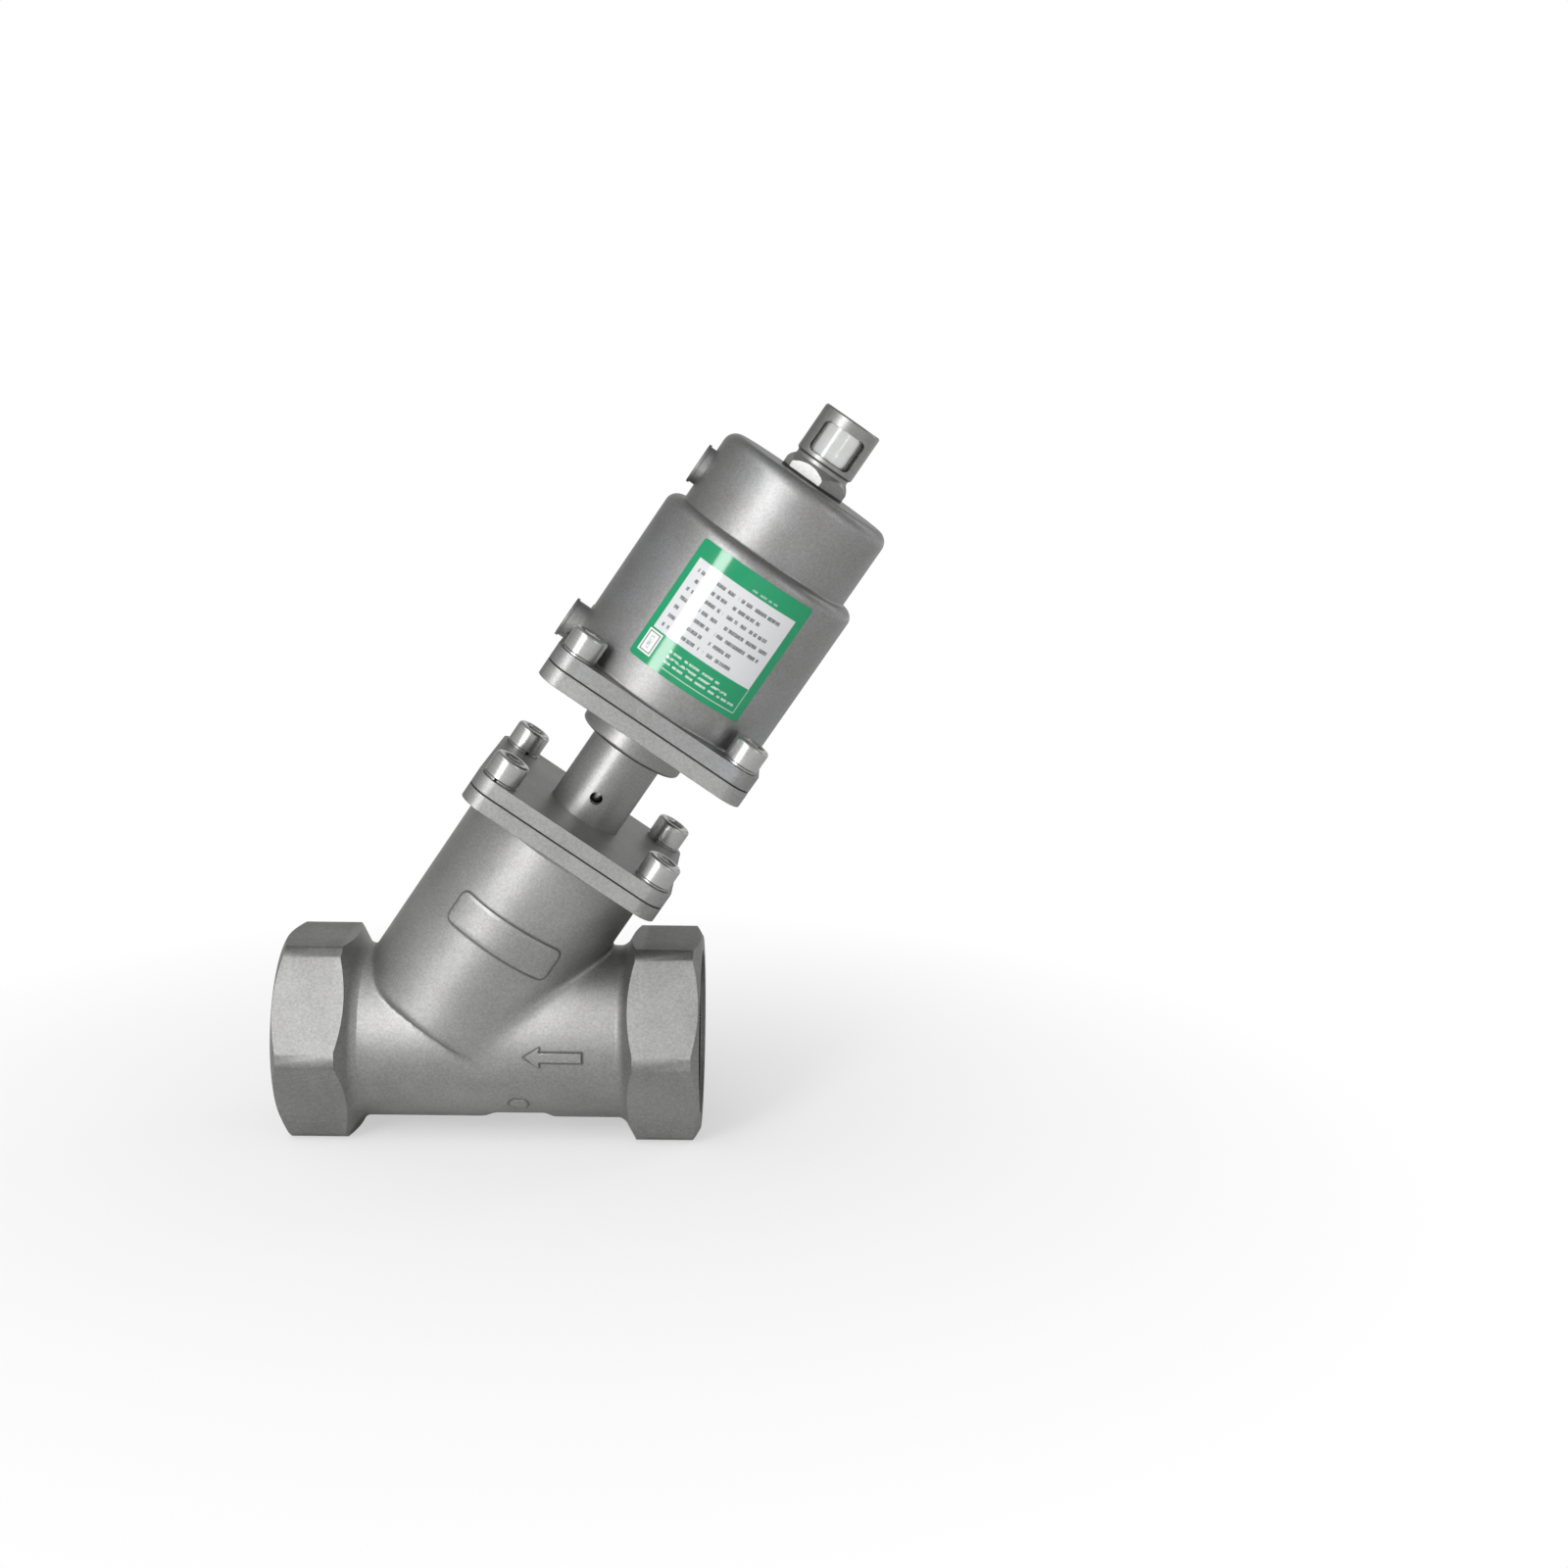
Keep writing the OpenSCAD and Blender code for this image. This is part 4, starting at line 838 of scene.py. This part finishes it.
arrow = [(-10.5, -0.3), (-4.6, -4.0), (-4.6, -2.3), (10.5, -2.3), (10.5, 1.7), (-4.6, 1.7), (-4.6, 3.4)]
add_mark("flow_arrow", rounded_outline(arrow, 0.3), 0.9, on_barrel)
pad = [(-21.5, -6.5), (21.5, -6.5), (21.5, 6.5), (-21.5, 6.5)]
add_mark("blank_pad", rounded_outline(pad, 3.5, 8), 0.7, on_neck)
random.seed(4)
scar = []
for point in range(SCAR_POINTS):
    turn = point * SCAR_STEP
    scar.append(Vector((math.cos(turn), math.sin(turn))) * random.uniform(2.6, 4.4))
add_mark("gate_scar", scar, 0.5, on_gate)

# %% [markdown]
# ## Threads
# A pipe thread is one ridge on a long helix. The recipe draws a spiral, sweeps a small trapezium along
# it, and is run once for each port with that port's pitch and radius. The ridge's foot is sunk a
# little into the widened wall and its crest is where the CAD bore is.

# %% Sweep a ridge along a spiral
# How deep the ridge's foot is sunk into the wall, in mm
SUNK = 0.12
# The widths of the ridge's crest and foot, as shares of the pitch
CREST_SHARE = 0.16
FOOT_SHARE = 0.92
thread_tree, given = new_recipe("thread", {"Crest": 28.33, "Root": 29.75, "Pitch": 2.309, "Turns": 8.0,
                                           "Steps": 64})
middle_radius = (given["Crest"] + given["Root"] + SUNK) * (0.5 * MM)
spiral = middle_radius.node("GeometryNodeCurveSpiral", None,
                            {"Resolution": given["Steps"], "Rotations": given["Turns"],
                             "Start Radius": middle_radius, "End Radius": middle_radius,
                             "Height": given["Pitch"] * given["Turns"] * MM})
spiral = spiral.node("GeometryNodeSetCurveNormal", {"mode": "Z_UP"}, {"Curve": spiral})
ridge = spiral.node("GeometryNodeCurvePrimitiveQuadrilateral", {"mode": "TRAPEZOID"},
                    {"Height": (given["Root"] - given["Crest"] + SUNK) * MM,
                     "Bottom Width": given["Pitch"] * (CREST_SHARE * MM),
                     "Top Width": given["Pitch"] * (FOOT_SHARE * MM), "Offset": 0.0})
swept = spiral.node("GeometryNodeCurveToMesh", None,
                    {"Curve": spiral, "Profile Curve": ridge, "Fill Caps": True})
end_recipe(thread_tree, swept, bright_metal)
print("Thread recipe:", len(thread_tree.nodes), "nodes")

# %% Set a thread in each port
# How far inside the mouth a thread starts, and how many turns less than the port's depth it has
THREAD_START = 0.6
TURNS_SPARED = 0.9


def face_one_way(work):
    bmesh.ops.recalc_face_normals(work, faces=work.faces)


for name, thread in threads.items():
    mesh = run_recipe(thread_tree, {"Crest": thread["crest"], "Root": thread["root"],
                                    "Pitch": thread["pitch"], "Steps": thread["steps"],
                                    "Turns": thread["depth"] / thread["pitch"] - TURNS_SPARED})
    radii = [math.hypot(vertex.co.x, vertex.co.y) / MM for vertex in mesh.vertices]
    inward = -thread["outward"]
    turn = inward.to_track_quat("Z", "Y").to_matrix().to_4x4()
    shift = Matrix.Translation(thread["mouth"] + inward * thread["pitch"] * THREAD_START * MM)
    mesh.transform(shift @ turn)
    rework(mesh, face_one_way)
    smooth_by_angle(mesh, 35)
    link_piece(name + "_thread", mesh, bright_metal, thread["body"])
    print(name, "thread from radius", round(min(radii), 2), "to", round(max(radii), 2), "mm")

# %% [markdown]
# ## Screws and lock washers
# All eight screws are one shape: a turned head with rounded edges, a hexagon socket and a shank. Each
# stands at its own random turn, as real ones do. The rings of the head and of the socket all have the
# same number of points, so that neighbours can be joined into bands. A lock washer is a band too,
# with a section that runs once round and leaves a gap of ten degrees. Where the four of a flange
# stand is measured on the CAD washers.


# %% Model one screw and one split washer
def banded_mesh(name, rings):
    """Rings with equal numbers of points joined into a closed surface."""
    work = bmesh.new()
    loops = [[work.verts.new(Vector(point) * MM) for point in ring] for ring in rings]
    for lower, upper in zip(loops, loops[1:]):
        for index in range(len(lower)):
            after = (index + 1) % len(lower)
            work.faces.new((lower[index], lower[after], upper[after], upper[index]))
    work.faces.new(list(reversed(loops[0])))
    work.faces.new(loops[-1])
    bmesh.ops.recalc_face_normals(work, faces=work.faces)
    mesh = bpy.data.meshes.new(name)
    work.to_mesh(mesh)
    work.free()
    smooth_by_angle(mesh, 40)
    return mesh


SIDES = 72
angles = [2 * math.pi * side / SIDES for side in range(SIDES)]


def circle(radius, height):
    return [(radius * math.cos(angle), radius * math.sin(angle), height) for angle in angles]


def hexagon(flat, height):
    """The flat is the distance from the middle to a side."""
    corner = math.pi / 6
    reach = [flat / math.cos((angle % (2 * corner)) - corner) for angle in angles]
    return [(radius * math.cos(angle), radius * math.sin(angle), height)
            for radius, angle in zip(reach, angles)]


# Each pair is a radius and a height over the head's seat, in mm
shank = [(3.4, -12.0), (3.95, -11.4), (3.95, 0.0)]
head = [(6.2, 0.0), (6.5, 0.3), (6.5, 6.9), (6.42, 7.25), (6.2, 7.6), (5.85, 7.88), (5.5, 8.0)]
socket_rim = [(4.3, 8.0), (3.95, 7.9)]
socket_sides = [(3.05, 7.5), (3.0, 7.3), (3.0, 4.1)]
socket_floor = [(2.9, 4.0), (0.6, 3.2)]
screw_rings = [circle(*ring) for ring in shank + head + socket_rim]
screw_rings += [hexagon(*ring) for ring in socket_sides]
screw_rings += [circle(*ring) for ring in socket_floor]
screw_mesh = banded_mesh("cap screw", screw_rings)

# The washer's section, and a top that rises a little from one end of the split to the other
WASHER_STEPS = 60
washer_section = [(4.1, 0.0), (6.45, 0.0), (6.6, 0.12), (6.6, 0.66), (6.45, 0.78), (4.1, 0.78)]
washer_rings = []
for step in range(WASHER_STEPS + 1):
    angle = math.radians(5 + 350 * step / WASHER_STEPS)
    rise = 0.024 * (step / WASHER_STEPS - 0.5)
    washer_rings.append([(radius * math.cos(angle), radius * math.sin(angle),
                          height + (rise if height > 0.5 else 0.0))
                         for radius, height in washer_section])
washer_mesh = banded_mesh("lock washer", washer_rings)
print("Screw:", len(screw_mesh.polygons), "faces, washer:", len(washer_mesh.polygons), "faces")

# %% Set four of them on each flange
WASHER_T = 0.8
WASHER_GAP = 0.01


def washer_square(node):
    """The height on the stem of four washers' seat, and the side of their square, in mm."""
    spots = [(stem_frame.inverted() @ vertex.co) / MM for vertex in nodes[node].data.vertices]
    far_row = [spot.y for spot in spots if spot.y > 0]
    return min(spot.z for spot in spots), max(far_row) + min(far_row)


screw_tree, given = new_recipe("four on a flange", {"Piece": None, "Pitch": 62.7, "Seed": 3})
grid = given["Pitch"].node("GeometryNodeMeshGrid", None,
                           {"Size X": given["Pitch"] * MM, "Size Y": given["Pitch"] * MM,
                            "Vertices X": 2, "Vertices Y": 2})
piece = grid.node("GeometryNodeObjectInfo", None, {"Object": given["Piece"]}, out="Geometry")
angle = grid.node("FunctionNodeRandomValue", {"data_type": "FLOAT"},
                  {2: 0.0, 3: 2 * math.pi, "Seed": given["Seed"]}, out=1)
turn = angle.node("ShaderNodeCombineXYZ", None, {"Z": angle})
placed = grid.node("GeometryNodeInstanceOnPoints", None,
                   {"Points": grid, "Instance": piece, "Rotation": turn})
end_recipe(screw_tree, placed, screw_metal)

for kind, mesh in (("screws", screw_mesh), ("washers", washer_mesh)):
    source = add_object(kind + " source", mesh)
    for flange, body, seed in (("bonnet", "valve", 5), ("actuator", "actuator", 8)):
        seat, pitch = washer_square(flange + "_washers")
        made = run_recipe(screw_tree, {"Piece": source, "Pitch": pitch,
                                       "Seed": seed + (0 if kind == "screws" else 20)})
        lift = WASHER_T if kind == "screws" else WASHER_GAP
        made.transform(stem_frame @ Matrix.Translation(Vector((0, 0, seat + lift)) * MM))
        smooth_by_angle(made, 40)
        link_piece(flange + "_" + kind + "_detailed", made, screw_metal, body,
                   (flange + "_" + kind,))
        print(flange, kind, len(made.polygons), "faces, seat at", round(seat, 2), "mm, square of",
              round(pitch, 2), "mm")
    bpy.data.objects.remove(source)

# %% [markdown]
# ## Closing spring
# The spring stands between the piston and the housing's roof, and it shortens when the piston rises.
# A smooth-shaded copy of its solid takes its place. Its upper end on the stem, and the share left at
# full travel, its length less the travel over its length, are worked out, but the copy is not squashed.

# %% Copy the spring and work out its travel
spring_mesh = merged_mesh("closing_spring", "closing spring wound")
smooth_by_angle(spring_mesh, 60)
heights = [(vertex.co - stem_foot).dot(stem_up) for vertex in spring_mesh.vertices]
travel = joints["stem_travel"]["range_m"][1] - joints["stem_travel"]["range_m"][0]
length = max(heights) - min(heights)
spring = link_piece("closing_spring_wound", spring_mesh, bright_metal, "actuator",
                    ("closing_spring",))
stem_foot + stem_up * max(heights)
(length - travel) / length
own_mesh(spring)
print("Spring", round(length / MM, 1), "mm long, shortened by", round(travel / MM, 1), "mm")

# %% [markdown]
# ## Finishes for the remaining solids
# The other CAD nodes already have the right shape. They keep their own mesh and only get a material.

# %% Give the other nodes their finish
finishes = {
    "bonnet_gasket": black_rubber, "base_gasket": black_rubber, "stem_seal": black_rubber,
    "piston_seal": black_rubber, "indicator_washer": black_rubber,
    "packing_rings": white_plastic, "seat_seal": white_plastic, "piston_guide_ring": white_plastic,
    "packing_gland": bronze, "stem_bush": bronze, "indicator_rod": red_plastic,
    "sight_tube": clear_plastic, "label": label_film, "piston": plate_metal,
}
for name, node in nodes.items():
    material = finishes.get(name, bright_metal)
    node.data.materials.clear()
    node.data.materials.append(material)
    for polygon in node.data.polygons:
        polygon.material_index = 0
print("Finished", len(nodes), "nodes")

# %% [markdown]
# ## Floor, world and lamps
# A pale floor under the valve takes its shadow and fades to white away from it, and the world is
# plain white to the camera. The metal and the clear sleeve see a softer version of both, so that they
# keep their shape. Four large soft lamps stand like studio boxes: the key on the left front, one
# above, a weak one on the right front, and a weak one behind on the right that draws the edges there.

# %% Build the floor
FLOOR_REACH = 4.0
FLOOR_GAP = 0.0002
# How far from the valve's middle the floor fades, straight to the camera and in mirrored rays
CAMERA_FADE = (0.05, 0.32)
MIRROR_FADE = (0.4, 1.1)
floor_z = cad_box[0][2] - FLOOR_GAP
floor_mesh = bpy.data.meshes.new("floor")
floor_mesh.from_pydata([(x * FLOOR_REACH, y * FLOOR_REACH, floor_z)
                        for x, y in ((-1, -1), (1, -1), (1, 1), (-1, 1))], [], [(0, 1, 2, 3)])
floor = add_object("floor", floor_mesh)
floor_material, shader, place = new_material("pale floor", roughness=0.9)
feed(shader, base_color=noise(place, 90.0).mix(rgb(0.80, 0.80, 0.80), rgb(0.83, 0.83, 0.83)))
tree = floor_material.node_tree
distance = place.node("ShaderNodeVectorMath", {"operation": "DISTANCE"},
                      {0: place, 1: (0.09, 0.0, floor_z)}, out="Value")
camera_fade = 0.5 + distance.between(*CAMERA_FADE) * 0.5
mirror_fade = distance.between(*MIRROR_FADE)


def background_rays(socket):
    """1 for rays that show the background: straight to the camera, mirrored or through clear pieces."""
    straight, mirrored, through = (socket.node("ShaderNodeLightPath", out=name)
                                   for name in ("Is Camera Ray", "Is Glossy Ray", "Is Transmission Ray"))
    return straight.maths("MAXIMUM", mirrored.maths("MAXIMUM", through))


white = tree.nodes.new("ShaderNodeEmission")
white.inputs["Color"].default_value = rgb(1, 1, 1)
straight = place.node("ShaderNodeLightPath", out="Is Camera Ray")
seen = background_rays(place) * (straight * camera_fade).maths("MAXIMUM", mirror_fade)
fade = tree.nodes.new("ShaderNodeMixShader")
tree.links.new(seen.socket, fade.inputs[0])
tree.links.new(shader.outputs[0], fade.inputs[1])
tree.links.new(white.outputs[0], fade.inputs[2])
tree.links.new(fade.outputs[0], tree.nodes["Material Output"].inputs["Surface"])
floor_mesh.materials.append(floor_material)
print("Floor at", round(floor_z / MM, 2), "mm")

# %% Build the world
world = bpy.data.worlds.new("studio")
bpy.context.scene.world = world
world.use_nodes = True
sky = Socket(world.node_tree)
background = world.node_tree.nodes["Background"]
direction = sky.node("ShaderNodeTexCoord", out="Generated")
behind = direction.dot((0.0, 1.0, 0.0)).between(0.84, 0.97)
camera_only = sky.node("ShaderNodeLightPath", out="Is Camera Ray")
shown = background_rays(sky) * behind.maths("MAXIMUM", camera_only)
lit_side = direction.dot((-0.50, -0.80, 0.33)).between(-0.9, 1.0)
room = lit_side.mix(rgb(0.10, 0.10, 0.10), rgb(0.75, 0.75, 0.75))
world.node_tree.links.new(shown.mix(room, rgb(1, 1, 1)).socket, background.inputs["Color"])
background.inputs["Strength"].default_value = 1.0
print("World:", len(world.node_tree.nodes), "nodes")


# %% Hang the lamps
LAMP_TARGET = Vector((0.11, 0, 0.10))


def soft_box(name, place, size, watts):
    """A rectangular lamp that looks at the middle of the valve."""
    data = bpy.data.lights.new(name, "AREA")
    data.shape = "RECTANGLE"
    data.size, data.size_y = size
    data.energy = watts
    lamp = add_object(name, data)
    lamp.location = place
    lamp.rotation_euler = (LAMP_TARGET - Vector(place)).to_track_quat("-Z", "Y").to_euler()


soft_box("key", (-0.50, -1.20, 0.54), (0.28, 0.9), 10.5)
soft_box("top", (-0.2, -0.85, 1.35), (0.9, 0.9), 5)
soft_box("fill", (1.3, -0.9, 0.35), (0.5, 0.8), 2)
soft_box("rim", (1.35, 0.80, 0.60), (0.4, 0.9), 2.5)
bpy.context.scene.view_settings.view_transform = "Standard"
